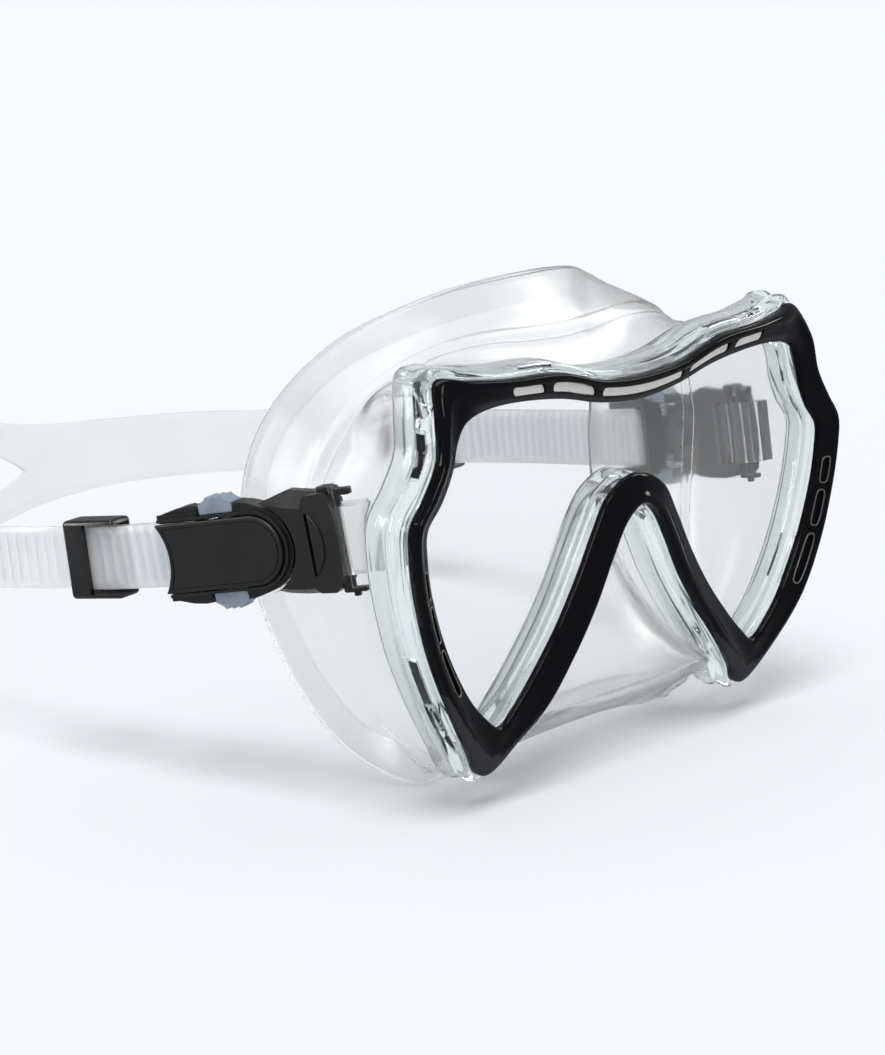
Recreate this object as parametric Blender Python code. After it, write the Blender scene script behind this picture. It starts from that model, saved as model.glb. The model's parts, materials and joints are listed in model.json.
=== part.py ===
"""Single-lens diving mask with squeeze-release strap buckles.

Frame: +Z up, the lens faces -Y, the wearer's right side is -X.  Sizes below are in
millimetres in the mask's own axes (y = 0 at the bezel's front ridge, z = 0 at the top of
the nose arch).  ORIGIN moves them to the point on the floor under the model's middle.
"""
import math

import bmesh
import bpy
from mathutils import Vector

MM = 0.001
ORIGIN = Vector((1.16, 134.2, -62.5))

# Lens, bezel and clear frame
LENS_FRONT = 4.3
LENS_THICKNESS = 3.2
LENS_OVERLAP = 1.6
BEZEL_LIP_DEPTH = 2.6
BEZEL_BACK = 3.9
FRAME_BACK = 14.5
FRAME_RIM = 1.8
COLLAR_BACK = 13.0
GAP = 0.35
SPAN_STEPS = 2

# Skirt
SKIRT_WALL = 1.9
SKIRT_EDGE = 1.2
SKIRT_STEP = 1.5
FACE_LIP = 8.0
LIP_TUCK = 1.0

# Buckle, measured along (s, rearward), across (v, up) and through (w, outward) the strap
BUCKLE_YAW = math.radians(14.0)
BUCKLE_SLOPE = math.radians(12.0)
BUCKLE_PIVOT = Vector((83.3, 45.6, -3.2))
BODY_RADIUS = 9.9
BODY_LENGTH = 22.8
BODY_DEPTH = 10.2
RAIL_INSIDE = 7.9
COVER_HALF = 7.9
COVER_REAR = 23.5
COVER_THICKNESS = 1.3
YOKE_DEPTH = 6.5
YOKE_RECESS = 10.6
TONGUE_RADIUS = 6.0
BAR_S = -21.0
BAR_W = -3.9
BAR_RADIUS = 1.5
ROLLER_S = 15.5
ROLLER_W = -6.5
ROLLER_RADIUS = 1.6
BUTTON_S = (2.4, 12.9)
BUTTON_V = (8.9, 12.1)
BUTTON_W = (-6.6, -2.2)

# Strap
STRAP_THICKNESS = 1.5
STRAP_HALF = 7.3
TAIL_OFFSET = 2.1
KEEPER_LENGTH = 15.0
KEEPER_BAR = 6.0
# Keeper and tail end on each side (+1 left), counted in points of STRAP_RUN
KEEPER_PLACE = {1: 4.68, -1: 1.55}
TAIL_PLACE = {1: 4.95, -1: 1.7}

# Outlines of one half, from the top centre round to the nose arch: (x, z, sweep back)
BEZEL_EDGE = [
    (0, 30.2, 0), (15, 31.3, 0), (30, 35.0, 0), (46, 35.9, 0.5), (58, 37.0, 2.5), (65.4, 37.4, 5),
    (68.6, 30, 2), (69.8, 21.5, 0.5), (74.2, 14.4, 0), (78.7, 8.5, 0), (79.1, 2, 0),
    (77.3, -8.5, 0), (73, -21.8, 0), (66, -35.2, 0.5), (57, -47, 3), (49, -55.3, 6),
    (41.5, -48.6, 3), (33.5, -41, 0.5), (24.2, -30.4, 0), (17, -20.8, 0), (11, -10.5, 0),
    (6, -3.2, 0), (0, 0, 0)]
# Edge of the lens opening, point for point with BEZEL_EDGE: (x, z)
LENS_OPENING = [
    (0, 24.3), (14, 25.6), (28, 28.6), (43, 30.2), (54, 30.1), (60.8, 28.2),
    (63.8, 24), (65.3, 18.2), (68.7, 12), (73.2, 6.8), (73.4, 1),
    (71.8, -8), (67.2, -20.5), (60.3, -32.4), (54.2, -39.2), (48.2, -43.2),
    (43, -39.8), (36.3, -33.4), (28.4, -24.6), (21.3, -14.6), (15.6, -5),
    (9.8, 3.1), (0, 6.9)]
# Step line round the skirt, which becomes the lower front edge of the nose pocket: (x, y, z)
SKIRT_MIDDLE = [
    (0, 26.5, 37.8), (12, 27, 38.2), (25, 28.5, 38.6), (37, 31, 37.3), (47.5, 34, 33.8), (55.5, 37, 29),
    (61, 39, 23.5), (65, 40.5, 17.5), (67.5, 41.5, 11.5), (69, 42, 5.5), (69, 42, -1),
    (67.5, 41, -11), (64.5, 38.5, -23), (60.5, 34.5, -35), (55.5, 29.5, -46.5), (49, 23.5, -56),
    (41.5, 19.5, -53.5), (33, 5.5, -46.5), (28, 2, -44.6), (21.5, 0.5, -43.9), (14.5, -0.3, -43.4),
    (7.2, -0.7, -43.1), (0, -0.8, -43)]
# Outer edge of the skirt: (x, y, z)
SKIRT_EDGE_LINE = [
    (0, 38, 50), (11, 39.3, 49.5), (23, 42, 47.9), (34, 47, 44.4), (44, 52.8, 39.6), (52, 57, 33.6),
    (58.5, 60, 27), (63, 62.5, 19.7), (65.8, 64, 12), (67, 64.8, 4.5), (67, 65, -3.5),
    (66, 63, -15), (64.5, 58, -29), (61.5, 50.5, -43.5), (56.5, 41, -55.5), (49, 30, -62),
    (41, 26.5, -62), (32, 26, -61.2), (24, 25.5, -59.8), (17, 25, -59), (11, 24.6, -58.5),
    (5.5, 24.3, -58.3), (0, 24.2, -58.2)]
NOSE_FROM = 16
# Load-bearing run of one half of the strap behind the buckle: (x, y, z, half height)
STRAP_RUN = [
    (80.9, 71.5, -8.4, 7.3), (84.3, 84, -10.7, 7.3), (86.4, 97, -12.8, 7.3), (88.5, 110, -14.9, 7.3),
    (89.4, 128, -17.6, 7.4), (86.8, 150, -20.6, 7.8), (82, 175, -23.8, 8.3), (76, 198, -26.8, 8.8),
    (68.5, 222, -30.2, 9.3), (57, 243, -34, 10), (40, 258, -37.6, 12.5), (20, 266, -39.6, 19),
    (0, 268.5, -40, 22.5)]
# Slots through the top of the bezel: first and last outline position, in outline points
BEZEL_SLOTS = [(-1.05, 1.05), (1.3, 2.2), (2.5, 3.1), (-2.2, -1.3), (-3.1, -2.5)]
SLOT_BAND = (0.34, 0.66)


def clear_scene():
    for obj in list(bpy.data.objects):
        bpy.data.objects.remove(obj, do_unlink=True)


def material(name, color, roughness, metallic=0.0, alpha=1.0):
    mat = bpy.data.materials.new(name)
    mat.use_nodes = True
    shader = mat.node_tree.nodes["Principled BSDF"]
    shader.inputs["Base Color"].default_value = (*color, 1.0)
    shader.inputs["Roughness"].default_value = roughness
    shader.inputs["Metallic"].default_value = metallic
    shader.inputs["Alpha"].default_value = alpha
    return mat


def add_object(name, verts, faces, mat, pivot=None, smooth=True):
    """Make a closed mesh object from points in mask millimetres, with its origin at pivot."""
    place = (Vector(pivot) - ORIGIN) * MM if pivot is not None else Vector((0, 0, 0))
    mesh = bpy.data.meshes.new(name)
    bm = bmesh.new()
    points = [bm.verts.new((Vector(p) - ORIGIN) * MM - place) for p in verts]
    for face in faces:
        bm.faces.new([points[i] for i in face])
    bmesh.ops.recalc_face_normals(bm, faces=bm.faces)
    bmesh.ops.triangulate(bm, faces=[f for f in bm.faces if len(f.verts) > 4])
    bm.to_mesh(mesh)
    bm.free()
    if smooth:
        mesh.shade_smooth()
        mesh.set_sharp_from_angle(angle=math.radians(35))
    mesh.materials.append(mat)
    obj = bpy.data.objects.new(name, mesh)
    obj.location = place
    bpy.context.collection.objects.link(obj)
    return obj


def combine(target, other, operation):
    """Cut or join another closed mesh, which is kept as a hidden helper."""
    other.hide_render = True
    other.display_type = 'WIRE'
    boolean = target.modifiers.new(operation.lower(), 'BOOLEAN')
    boolean.operation = operation
    boolean.solver = 'EXACT'
    boolean.object = other


def whole_outline(half):
    """Add the mirrored half to an outline, between its two points on the centre plane."""
    half = [tuple(p) for p in half]
    mirrored = [(-p[0], *p[1:]) for p in half[-2:0:-1]]
    return half + mirrored


def smooth_at(points, place):
    """Point on a closed Catmull-Rom curve, at a position counted in control points."""
    count = len(points)
    i = math.floor(place)
    t = place - i
    a, b, c, d = (points[(i + k) % count] for k in (-1, 0, 1, 2))
    return tuple(
        0.5 * (2 * b[k] + (c[k] - a[k]) * t + (2 * a[k] - 5 * b[k] + 4 * c[k] - d[k]) * t ** 2
               + (3 * b[k] - a[k] - 3 * c[k] + d[k]) * t ** 3)
        for k in range(len(b)))


def smooth_loop(half):
    points = whole_outline(half)
    return [smooth_at(points, i / SPAN_STEPS) for i in range(len(points) * SPAN_STEPS)]


def outward(loop):
    """Outward unit directions in the lens plane for a loop of (x, z, ...) points."""
    result = []
    count = len(loop)
    for i in range(count):
        before, after = loop[i - 1], loop[(i + 1) % count]
        dx, dz = after[0] - before[0], after[1] - before[1]
        size = math.hypot(dx, dz) or 1.0
        result.append((-dz / size, dx / size))
    return result


def offset_loop(loop, normals, distance):
    return [(p[0] + n[0] * distance, p[1] + n[1] * distance) for p, n in zip(loop, normals)]


def ring_solid(rings):
    """Closed band: each ring joins the next and the last joins the first."""
    count = len(rings[0])
    verts = [p for ring in rings for p in ring]
    faces = []
    for j in range(len(rings)):
        k = (j + 1) % len(rings)
        for i in range(count):
            n = (i + 1) % count
            faces.append((j * count + i, j * count + n, k * count + n, k * count + i))
    return verts, faces


def prism(outline, low, high):
    """Extrude a flat outline (a, b) between two heights of the third coordinate."""
    count = len(outline)
    verts = [(a, b, low) for a, b in outline] + [(a, b, high) for a, b in outline]
    faces = [tuple(range(count)), tuple(range(2 * count - 1, count - 1, -1))]
    faces += [(i, (i + 1) % count, count + (i + 1) % count, count + i) for i in range(count)]
    return verts, faces


def arc(radius, start, end, steps, centre=(0.0, 0.0)):
    """Points of an arc, with angles in degrees."""
    angles = [math.radians(start + (end - start) * i / steps) for i in range(steps + 1)]
    return [(centre[0] + radius * math.cos(a), centre[1] + radius * math.sin(a)) for a in angles]


def box(low, high):
    return prism([(low[0], low[1]), (high[0], low[1]), (high[0], high[1]), (low[0], high[1])],
                 low[2], high[2])


EDGE = smooth_loop(BEZEL_EDGE)
OPENING = smooth_loop(LENS_OPENING)
# The edge loops run from the top towards +X, so their left-hand side is outside.
EDGE_OUT = outward(EDGE)
OPENING_OUT = outward(OPENING)


def across(t):
    """Loop between the lens opening (0) and the bezel's outer edge (1)."""
    return [(a[0] + (b[0] - a[0]) * t, a[1] + (b[1] - a[1]) * t) for a, b in zip(OPENING, EDGE)]


def lift(loop, depth, sweep=0.0):
    """Give a flat loop its depth, plus a share of the corners' sweep back."""
    return [(p[0], depth + sweep * e[2], p[1]) for p, e in zip(loop, EDGE)]


def bezel_section():
    return [lift(OPENING, BEZEL_LIP_DEPTH), lift(across(0.15), 2.0), lift(across(0.7), 0.5, 0.5),
            lift(across(0.93), 0.0, 0.9), lift(EDGE, 0.5, 1.0), lift(EDGE, 3.3, 1.0),
            lift(across(0.5), BEZEL_BACK), lift(OPENING, BEZEL_BACK)]


def slot_cutter(name, first, last, mat):
    """Curved window between two positions along the bezel's top band."""
    edge, opening = whole_outline(BEZEL_EDGE), whole_outline(LENS_OPENING)
    steps = 6

    def band_point(place, t):
        a, b = smooth_at(opening, place), smooth_at(edge, place)
        return (a[0] + (b[0] - a[0]) * t, a[1] + (b[1] - a[1]) * t)

    places = [first + (last - first) * i / steps for i in range(steps + 1)]
    outline = [band_point(p, SLOT_BAND[1]) for p in places]
    outline += [band_point(p, SLOT_BAND[0]) for p in reversed(places)]
    verts, faces = prism(outline, -8.0, 12.0)
    return add_object(name, [(x, y, z) for x, z, y in verts], faces, mat, smooth=False)


def build_bezel(mat):
    bezel = add_object("bezel", *ring_solid(bezel_section()), mat)
    for i, (first, last) in enumerate(BEZEL_SLOTS):
        combine(bezel, slot_cutter(f"slot_cutter_{i + 1}", first, last, mat), 'DIFFERENCE')


def build_lens(mat):
    rim = offset_loop(OPENING, OPENING_OUT, LENS_OVERLAP)
    verts, faces = prism(rim, LENS_FRONT, LENS_FRONT + LENS_THICKNESS)
    add_object("lens", [(x, y, z) for x, z, y in verts], faces, mat)


def build_frame(mat):
    lens_back = LENS_FRONT + LENS_THICKNESS + GAP
    seat = offset_loop(OPENING, OPENING_OUT, LENS_OVERLAP + GAP)
    collar = offset_loop(OPENING, OPENING_OUT, 0.2)
    groove = offset_loop(OPENING, OPENING_OUT, 2.0)
    wall = offset_loop(EDGE, EDGE_OUT, -0.6)
    rim = offset_loop(EDGE, EDGE_OUT, FRAME_RIM)
    lip = offset_loop(EDGE, EDGE_OUT, GAP)
    rings = [lift(collar, lens_back), lift(collar, COLLAR_BACK), lift(groove, COLLAR_BACK),
             lift(groove, 9.4, 0.3), lift(wall, 9.4, 0.8), lift(wall, FRAME_BACK, 0.8),
             lift(rim, FRAME_BACK, 0.8), lift(rim, 3.2, 1.0), lift(lip, 3.2, 1.0),
             lift(lip, 4.3, 1.0), lift(across(0.5), 4.3, 0.3), lift(seat, 4.3), lift(seat, lens_back)]
    add_object("lens_frame", *ring_solid(rings), mat)


def nose_share(index):
    """0 round the outside of the mask, 1 along the nose pocket."""
    place = index / SPAN_STEPS
    half = len(BEZEL_EDGE) - 1
    place = min(place, 2 * half - place)
    return min(max((place - (NOSE_FROM - 1)) / 1.5, 0.0), 1.0)


def surface_normals(rows):
    """Outward normals of a grid of loops, from the neighbours of each point."""
    result = []
    for j, row in enumerate(rows):
        before, after = rows[max(j - 1, 0)], rows[min(j + 1, len(rows) - 1)]
        normals = []
        for i in range(len(row)):
            along = Vector(row[(i + 1) % len(row)]) - Vector(row[i - 1])
            down = Vector(after[i]) - Vector(before[i])
            normals.append(along.cross(down).normalized())
        result.append(normals)
    return result


def skirt_rows():
    """Outer surface of the skirt: from the frame's groove to the free edge and in along the face."""
    middle = smooth_loop(SKIRT_MIDDLE)
    edge_line = smooth_loop(SKIRT_EDGE_LINE)
    middle_out = outward([(p[0], p[2]) for p in middle])
    rows = [lift(offset_loop(EDGE, EDGE_OUT, -0.95), 9.9, 0.8),
            lift(offset_loop(EDGE, EDGE_OUT, -0.95), FRAME_BACK + 0.9, 0.8)]
    neck, waist, step, flange = [], [], [], []
    for i, (start, mid, end) in enumerate(zip(rows[1], middle, edge_line)):
        nose = nose_share(i)
        out = Vector((EDGE_OUT[i][0], 0, EDGE_OUT[i][1]))
        mid_out = Vector((middle_out[i][0], 0, middle_out[i][1]))
        start, mid, end = Vector(start), Vector(mid), Vector(end)
        behind_frame = start + out * (0.95 + FRAME_RIM + 1.0) + Vector((0, 1.6, 0))
        neck.append((start.lerp(mid, 0.3) - out * 2.8).lerp(behind_frame, nose))
        waist.append((start.lerp(mid, 0.75) - mid_out * 1.8).lerp(neck[-1].lerp(mid, 0.5), nose))
        step.append(mid + mid_out * SKIRT_STEP * (1 - nose))
        flange.append(mid.lerp(end, 0.5) + mid_out * 1.0)
    edge_out = outward([(p[0], p[2]) for p in edge_line])
    lip = [Vector(p) - Vector((n[0], 0, n[1])) * FACE_LIP - Vector((0, LIP_TUCK, 0))
           for p, n in zip(edge_line, edge_out)]
    return rows + [neck, waist, step, flange, [Vector(p) for p in edge_line], lip]


def build_skirt(mat):
    rows = skirt_rows()
    normals = surface_normals(rows)
    walls = [SKIRT_EDGE] * 2 + [SKIRT_WALL] * 4 + [SKIRT_EDGE] * 2
    inner = [[Vector(p) - n * wall for p, n in zip(row, row_normals)]
             for row, row_normals, wall in zip(rows, normals, walls)]
    skirt = add_object("skirt", *ring_solid(rows + inner[::-1]), mat)
    for side in (1, -1):
        combine(skirt, build_lug(side, mat), 'UNION')


def buckle_axes():
    rear = Vector((math.sin(BUCKLE_YAW) * math.cos(BUCKLE_SLOPE),
                   math.cos(BUCKLE_YAW) * math.cos(BUCKLE_SLOPE), -math.sin(BUCKLE_SLOPE)))
    out = Vector((math.cos(BUCKLE_YAW), -math.sin(BUCKLE_YAW), 0))
    return rear, out.cross(rear), out


REAR, UP, OUT = buckle_axes()


def side_point(point, side):
    return Vector((point[0] * side, point[1], point[2]))


def buckle_point(s, v, w, side=1):
    return side_point(BUCKLE_PIVOT + REAR * s + UP * v + OUT * w, side)


def buckle_object(name, shape, side, mat, pivot=None):
    """Place a shape made in buckle coordinates (s, v, w) on one side of the mask."""
    verts, faces = shape
    return add_object(name, [buckle_point(*p, side) for p in verts], faces, mat, pivot)


def turned(shape, order):
    """Reorder coordinates, so that a prism stands along another buckle axis."""
    verts, faces = shape
    return [tuple(p[k] for k in order) for p in verts], faces


def upright_rod(radius, centre, low, high, sides=16):
    """Round rod along v at (s, w)."""
    circle = arc(radius, 0, 360 - 360 / sides, sides - 1, centre)
    return turned(prism(circle, low, high), (0, 2, 1))


def through_rod(radius, centre, low, high, sides=20):
    """Round rod along w at (s, v)."""
    return prism(arc(radius, 0, 360 - 360 / sides, sides - 1, centre), low, high)


def side_name(side):
    return "left" if side > 0 else "right"


def build_lug(side, mat):
    """Silicone ear of the skirt, with an eye round the yoke's bar."""
    eye = arc(2.6, -75, 90, 8, (BAR_S, BAR_W))
    outline = eye + [(-25.5, -0.8), (-29.0, -1.2), (-27.0, -5.2), (-24.5, -6.0)]
    lug = buckle_object(f"lug_{side_name(side)}", turned(prism(outline, -7.6, 7.6), (0, 2, 1)), side, mat)
    hole = buckle_object(f"lug_hole_{side_name(side)}",
                         upright_rod(BAR_RADIUS + 0.3, (BAR_S, BAR_W), -9, 9), side, mat)
    combine(lug, hole, 'DIFFERENCE')
    return lug


def build_yoke(side, mat, metal):
    recess = arc(YOKE_RECESS, 106, 254, 14)
    outline = recess + [(-6.5, -10.4), (-10, -11.2), (-16, -11.6), (-20.5, -11), (-22.6, -9),
                        (-23.4, 0), (-22.6, 9), (-19.5, 10.8), (-13.5, 11.4), (-9.5, 12.2)]
    yoke = buckle_object(f"yoke_{side_name(side)}", prism(outline, -YOKE_DEPTH, -0.3), side, mat)
    tongue = arc(TONGUE_RADIUS, -90, 90, 12) + [(-12.5, TONGUE_RADIUS), (-12.5, -TONGUE_RADIUS)]
    combine(yoke, buckle_object(f"yoke_tongue_{side_name(side)}",
                                prism(tongue, -YOKE_DEPTH, -4.9), side, mat), 'UNION')
    combine(yoke, buckle_object(f"yoke_pocket_{side_name(side)}",
                                box((-25, -8, -9), (-18, 8, -1.0)), side, mat), 'DIFFERENCE')
    combine(yoke, buckle_object(f"yoke_pin_hole_{side_name(side)}",
                                through_rod(2.4, (0, 0), -9, 1), side, mat), 'DIFFERENCE')
    combine(yoke, buckle_object(f"yoke_bar_hole_{side_name(side)}",
                                upright_rod(BAR_RADIUS + 0.35, (BAR_S, BAR_W), -14, 14), side, mat),
            'DIFFERENCE')
    bar_profile = [(0, -12.2), (1.2, -12.2), (BAR_RADIUS, -11.9), (BAR_RADIUS, 11.8), (2.3, 11.8),
                   (2.3, 13.2), (1.7, 13.8), (0, 13.8)]
    buckle_object(f"yoke_bar_{side_name(side)}", lathe(bar_profile, (BAR_S, BAR_W)), side, mat)
    pin = [(0, -8.1), (3.2, -8.1), (3.2, -6.9), (2.0, -6.9), (2.0, -1.9), (0, -1.9)]
    verts, faces = lathe(pin, (0, 0), 20)
    buckle_object(f"swivel_pin_{side_name(side)}", ([(s, w, v) for s, v, w in verts], faces), side, metal)


def lathe(profile, centre, sides=16):
    """Solid turned about the v axis at (s, w); the profile's ends lie on the axis."""
    rings = [[(centre[0] + r * math.cos(2 * math.pi * i / sides), v,
               centre[1] + r * math.sin(2 * math.pi * i / sides)) for i in range(sides)]
             for r, v in profile[1:-1]]
    verts = [p for ring in rings for p in ring]
    faces = []
    for j in range(len(rings) - 1):
        for i in range(sides):
            n = (i + 1) % sides
            faces.append((j * sides + i, j * sides + n, (j + 1) * sides + n, (j + 1) * sides + i))
    faces.append(tuple(range(sides)))
    faces.append(tuple(range((len(rings) - 1) * sides, len(rings) * sides)))
    return verts, faces


def rounded_end(radius, rear):
    """Outline with a round front end about the pivot and a square rear end."""
    return arc(radius, 90, 270, 16) + [(rear, -radius), (rear, radius)]


def build_buckle_body(side, mat):
    name = side_name(side)
    body = buckle_object(f"buckle_body_{name}", prism(rounded_end(BODY_RADIUS - 0.2, 10.4), -4.0, -1.75),
                         side, mat)
    rim_out, rim_in = rounded_end(BODY_RADIUS, BODY_LENGTH), rounded_end(COVER_HALF + GAP, 30)
    rim = buckle_object(f"body_rim_{name}", prism(rim_out, -1.9, -0.6), side, mat)
    combine(rim, buckle_object(f"body_rim_hole_{name}", prism(rim_in, -3, 1), side, mat), 'DIFFERENCE')
    combine(body, rim, 'UNION')
    walls = [("front_wall", (9.6, -9.75, -BODY_DEPTH + 0.1), (11.2, 9.75, -1.85)),
             ("upper_rail", (9.7, RAIL_INSIDE, -BODY_DEPTH), (BODY_LENGTH - 0.1, 9.82, -1.8)),
             ("lower_rail", (9.7, -9.82, -BODY_DEPTH), (BODY_LENGTH - 0.1, -RAIL_INSIDE, -1.8)),
             ("upper_seat", (5.2, 3.6, -6.4), (8.0, 4.6, -3.9)),
             ("lower_seat", (5.2, -4.6, -6.4), (8.0, -3.6, -3.9))]
    for part, low, high in walls:
        combine(body, buckle_object(f"body_{part}_{name}", box(low, high), side, mat), 'UNION')
    for v in (1, -1):
        low_v, high_v = sorted((v * (BUTTON_V[0] - 1.6), v * 13))
        window = box((BUTTON_S[0] - 0.4, low_v, BUTTON_W[0] - 0.4), (BUTTON_S[1] + 0.4, high_v, -1.7))
        combine(body, buckle_object(f"body_window_{name}_{v}", window, side, mat), 'DIFFERENCE')
    combine(body, buckle_object(f"body_pin_hole_{name}", through_rod(2.4, (0, 0), -9, 1), side, mat),
            'DIFFERENCE')
    combine(body, buckle_object(f"body_axle_hole_{name}",
                                upright_rod(1.3, (ROLLER_S, ROLLER_W), -14, 14, 12), side, mat),
            'DIFFERENCE')


def build_cover(side, mat):
    """Outer plate: round front end and a hollowed rear edge."""
    rear_edge = arc(14.0, -34, 34, 8, (COVER_REAR + 10.0, 0))
    rear_edge = [(2 * (COVER_REAR + 10.0) - s, v) for s, v in rear_edge]
    outline = arc(COVER_HALF, 90, 270, 14) + rear_edge
    buckle_object(f"buckle_cover_{side_name(side)}", prism(outline, -COVER_THICKNESS, 0), side, mat)


def build_buttons(side, mat, metal):
    name = side_name(side)
    for label, v in (("upper", 1), ("lower", -1)):
        pivot = buckle_point(7.65, v * 10.5, -4.4, side)
        s0, s1 = BUTTON_S
        cap = [(s0, BUTTON_V[0]), (s1, BUTTON_V[0]), (s1, 11), (s1 - 1.3, 11.8), (s1 - 3.5, BUTTON_V[1]),
               (s0 + 3.5, BUTTON_V[1]), (s0 + 1.3, 11.8), (s0, 11)]
        verts, faces = prism([(s, v * h) for s, h in cap], *BUTTON_W)
        buckle_object(f"button_{label}_{name}", (verts, faces), side, mat, pivot)
        buckle_object(f"button_spring_{label}_{name}", coil(6.6, v * 5.1, v * 8.5, -5.6), side, metal)


def coil(s, v_start, v_end, w, radius=1.0, wire=0.22, turns=3.5, sides=5, per_turn=8):
    """Closed helical wire along v."""
    count = int(turns * per_turn) + 1
    rings = []
    rise = (v_end - v_start) / (count - 1)
    for i in range(count):
        angle = 2 * math.pi * i / per_turn
        radial = Vector((math.cos(angle), 0, math.sin(angle)))
        centre = Vector((s, v_start + rise * i, w)) + radial * radius
        ring = [tuple(centre + radial * wire * math.cos(2 * math.pi * k / sides)
                      + Vector((0, 1, 0)) * wire * math.sin(2 * math.pi * k / sides)) for k in range(sides)]
        rings.append(ring)
    verts = [p for ring in rings for p in ring]
    faces = [tuple(range(sides)), tuple(range((count - 1) * sides, count * sides))]
    for j in range(count - 1):
        for k in range(sides):
            n = (k + 1) % sides
            faces.append((j * sides + k, j * sides + n, (j + 1) * sides + n, (j + 1) * sides + k))
    return verts, faces


def build_roller(side, mat):
    profile = [(0, -9.2), (1.0, -9.2), (1.0, -7.75), (ROLLER_RADIUS, -7.55), (ROLLER_RADIUS, 7.55),
               (1.0, 7.75), (1.0, 9.2), (0, 9.2)]
    pivot = buckle_point(ROLLER_S, 0, ROLLER_W, side)
    buckle_object(f"strap_roller_{side_name(side)}", lathe(profile, (ROLLER_S, ROLLER_W)), side, mat, pivot)


def build_pawl(side, mat):
    """Toothed plate that the buttons lift off the strap's ribs."""
    teeth = [(14.2 + i * 1.5 + d, -2.75 if d == 0 else -2.35) for i in range(4) for d in (0, 0.75)]
    outline = [(13.4, -1.95), (13.4, -2.35)] + teeth + [(20.6, -2.35), (20.6, -1.95)]
    shape = turned(prism(outline, -6.8, 6.8), (0, 2, 1))
    buckle_object(f"strap_pawl_{side_name(side)}", shape, side, mat, buckle_point(17, 0, -2.3, side))


def run_frame(place):
    """Point on the strap's run with its rearward, upward and outward directions."""
    i = int(place)
    t = place - i
    near = STRAP_RUN[i - 1:i + 3]
    ahead = Vector(smooth_at(near, 1 + min(t + 0.02, 0.999))[:3])
    behind = Vector(smooth_at(near, 1 + max(t - 0.02, 0.0))[:3])
    rear = (ahead - behind).normalized()
    out = Vector((rear.y, -rear.x, 0)).normalized()
    return Vector(smooth_at(near, 1 + t)[:3]), rear, out.cross(rear).normalized(), out


def strap_samples(tail_place):
    """Centre line of half the strap from its tail's end: (point, up, half height)."""
    samples = []
    run = [Vector(p[:3]) for p in STRAP_RUN]
    thirds = [k / 3 for k in range(3, 18) if k / 3 < tail_place]
    for place in [tail_place] + thirds[::-1]:
        point, rear, up, out = run_frame(place)
        samples.append((point + out * TAIL_OFFSET, up, STRAP_HALF))
    wrap = ROLLER_RADIUS + 0.3 + STRAP_THICKNESS / 2
    first_loop = buckle_point(ROLLER_S, 0, ROLLER_W + wrap)
    samples.append((samples[-1][0].lerp(first_loop, 0.5), UP, STRAP_HALF))
    for i in range(9):
        angle = math.radians(90 + 180 * i / 8)
        point = buckle_point(ROLLER_S + wrap * math.cos(angle), 0, ROLLER_W + wrap * math.sin(angle))
        samples.append((point, UP, STRAP_HALF))
    steps = 3
    for i in range(len(run) - 1):
        for k in range(steps if i < len(run) - 2 else steps + 1):
            t = k / steps
            a, b = STRAP_RUN[max(i - 1, 0)], STRAP_RUN[i]
            c = STRAP_RUN[i + 1]
            d = STRAP_RUN[i + 2] if i + 2 < len(run) else (-b[0], *b[1:])
            spot = smooth_at([a, b, c, d], 1 + t)
            ahead = smooth_at([a, b, c, d], 1 + min(t + 0.05, 0.999))
            behind = smooth_at([a, b, c, d], 1 + max(t - 0.05, 0.0))
            along = (Vector(ahead[:3]) - Vector(behind[:3])).normalized()
            up = (Vector((0, 0, 1)) - along * along.z).normalized()
            samples.append((Vector(spot[:3]), up, spot[3]))
    return samples


def build_strap(mat):
    right = strap_samples(TAIL_PLACE[-1])
    samples = strap_samples(TAIL_PLACE[1])
    samples += [(side_point(p, -1), side_point(u, -1), h) for p, u, h in right[-2::-1]]
    rings = []
    for i, (point, up, height) in enumerate(samples):
        along = samples[min(i + 1, len(samples) - 1)][0] - samples[max(i - 1, 0)][0]
        through = along.cross(up).normalized() * (STRAP_THICKNESS / 2)
        rings.append([point + up * height + through, point + up * height - through,
                      point - up * height - through, point - up * height + through])
    verts = [p for ring in rings for p in ring]
    faces = [(0, 1, 2, 3), tuple(4 * (len(rings) - 1) + k for k in range(4))]
    for j in range(len(rings) - 1):
        for k in range(4):
            n = (k + 1) % 4
            faces.append((4 * j + k, 4 * j + n, 4 * j + 4 + n, 4 * j + 4 + k))
    strap = add_object("strap", verts, faces, mat)
    tip, half_gap, middle = 38.0, 12.0, -39.4
    steps = 16
    upper = [(tip * math.cos(math.pi * i / steps), middle + half_gap * math.sin(math.pi * i / steps) ** 1.5)
             for i in range(steps + 1)]
    lower = [(x, 2 * middle - z) for x, z in upper[-2:0:-1]]
    verts, faces = prism(upper + lower, 240, 285)
    cutter = add_object("strap_split", [(x, y, z) for x, z, y in verts], faces, mat)
    combine(strap, cutter, 'DIFFERENCE')


def build_keeper(side, mat):
    """Sliding loop round both layers of strap, cut away over the tail in front of its bar."""
    centre, rear, up, out = run_frame(KEEPER_PLACE[side])

    def placed(shape, name, pivot=None):
        verts, faces = shape
        points = [side_point(centre + rear * a + up * b + out * c, side) for a, b, c in verts]
        return add_object(name, points, faces, mat, pivot)

    half = KEEPER_LENGTH / 2
    name = side_name(side)
    keeper = placed(box((-half, -9.2, -2.6), (half, 9.2, 4.7)), f"strap_keeper_{name}",
                    side_point(centre, side))
    combine(keeper, placed(box((-20, -8.15, -1.25), (20, 8.15, 3.35)), f"keeper_hollow_{name}"), 'DIFFERENCE')
    combine(keeper, placed(box((-20, -8.15, 2), (half - KEEPER_BAR, 8.15, 9)), f"keeper_window_{name}"),
            'DIFFERENCE')


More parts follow.
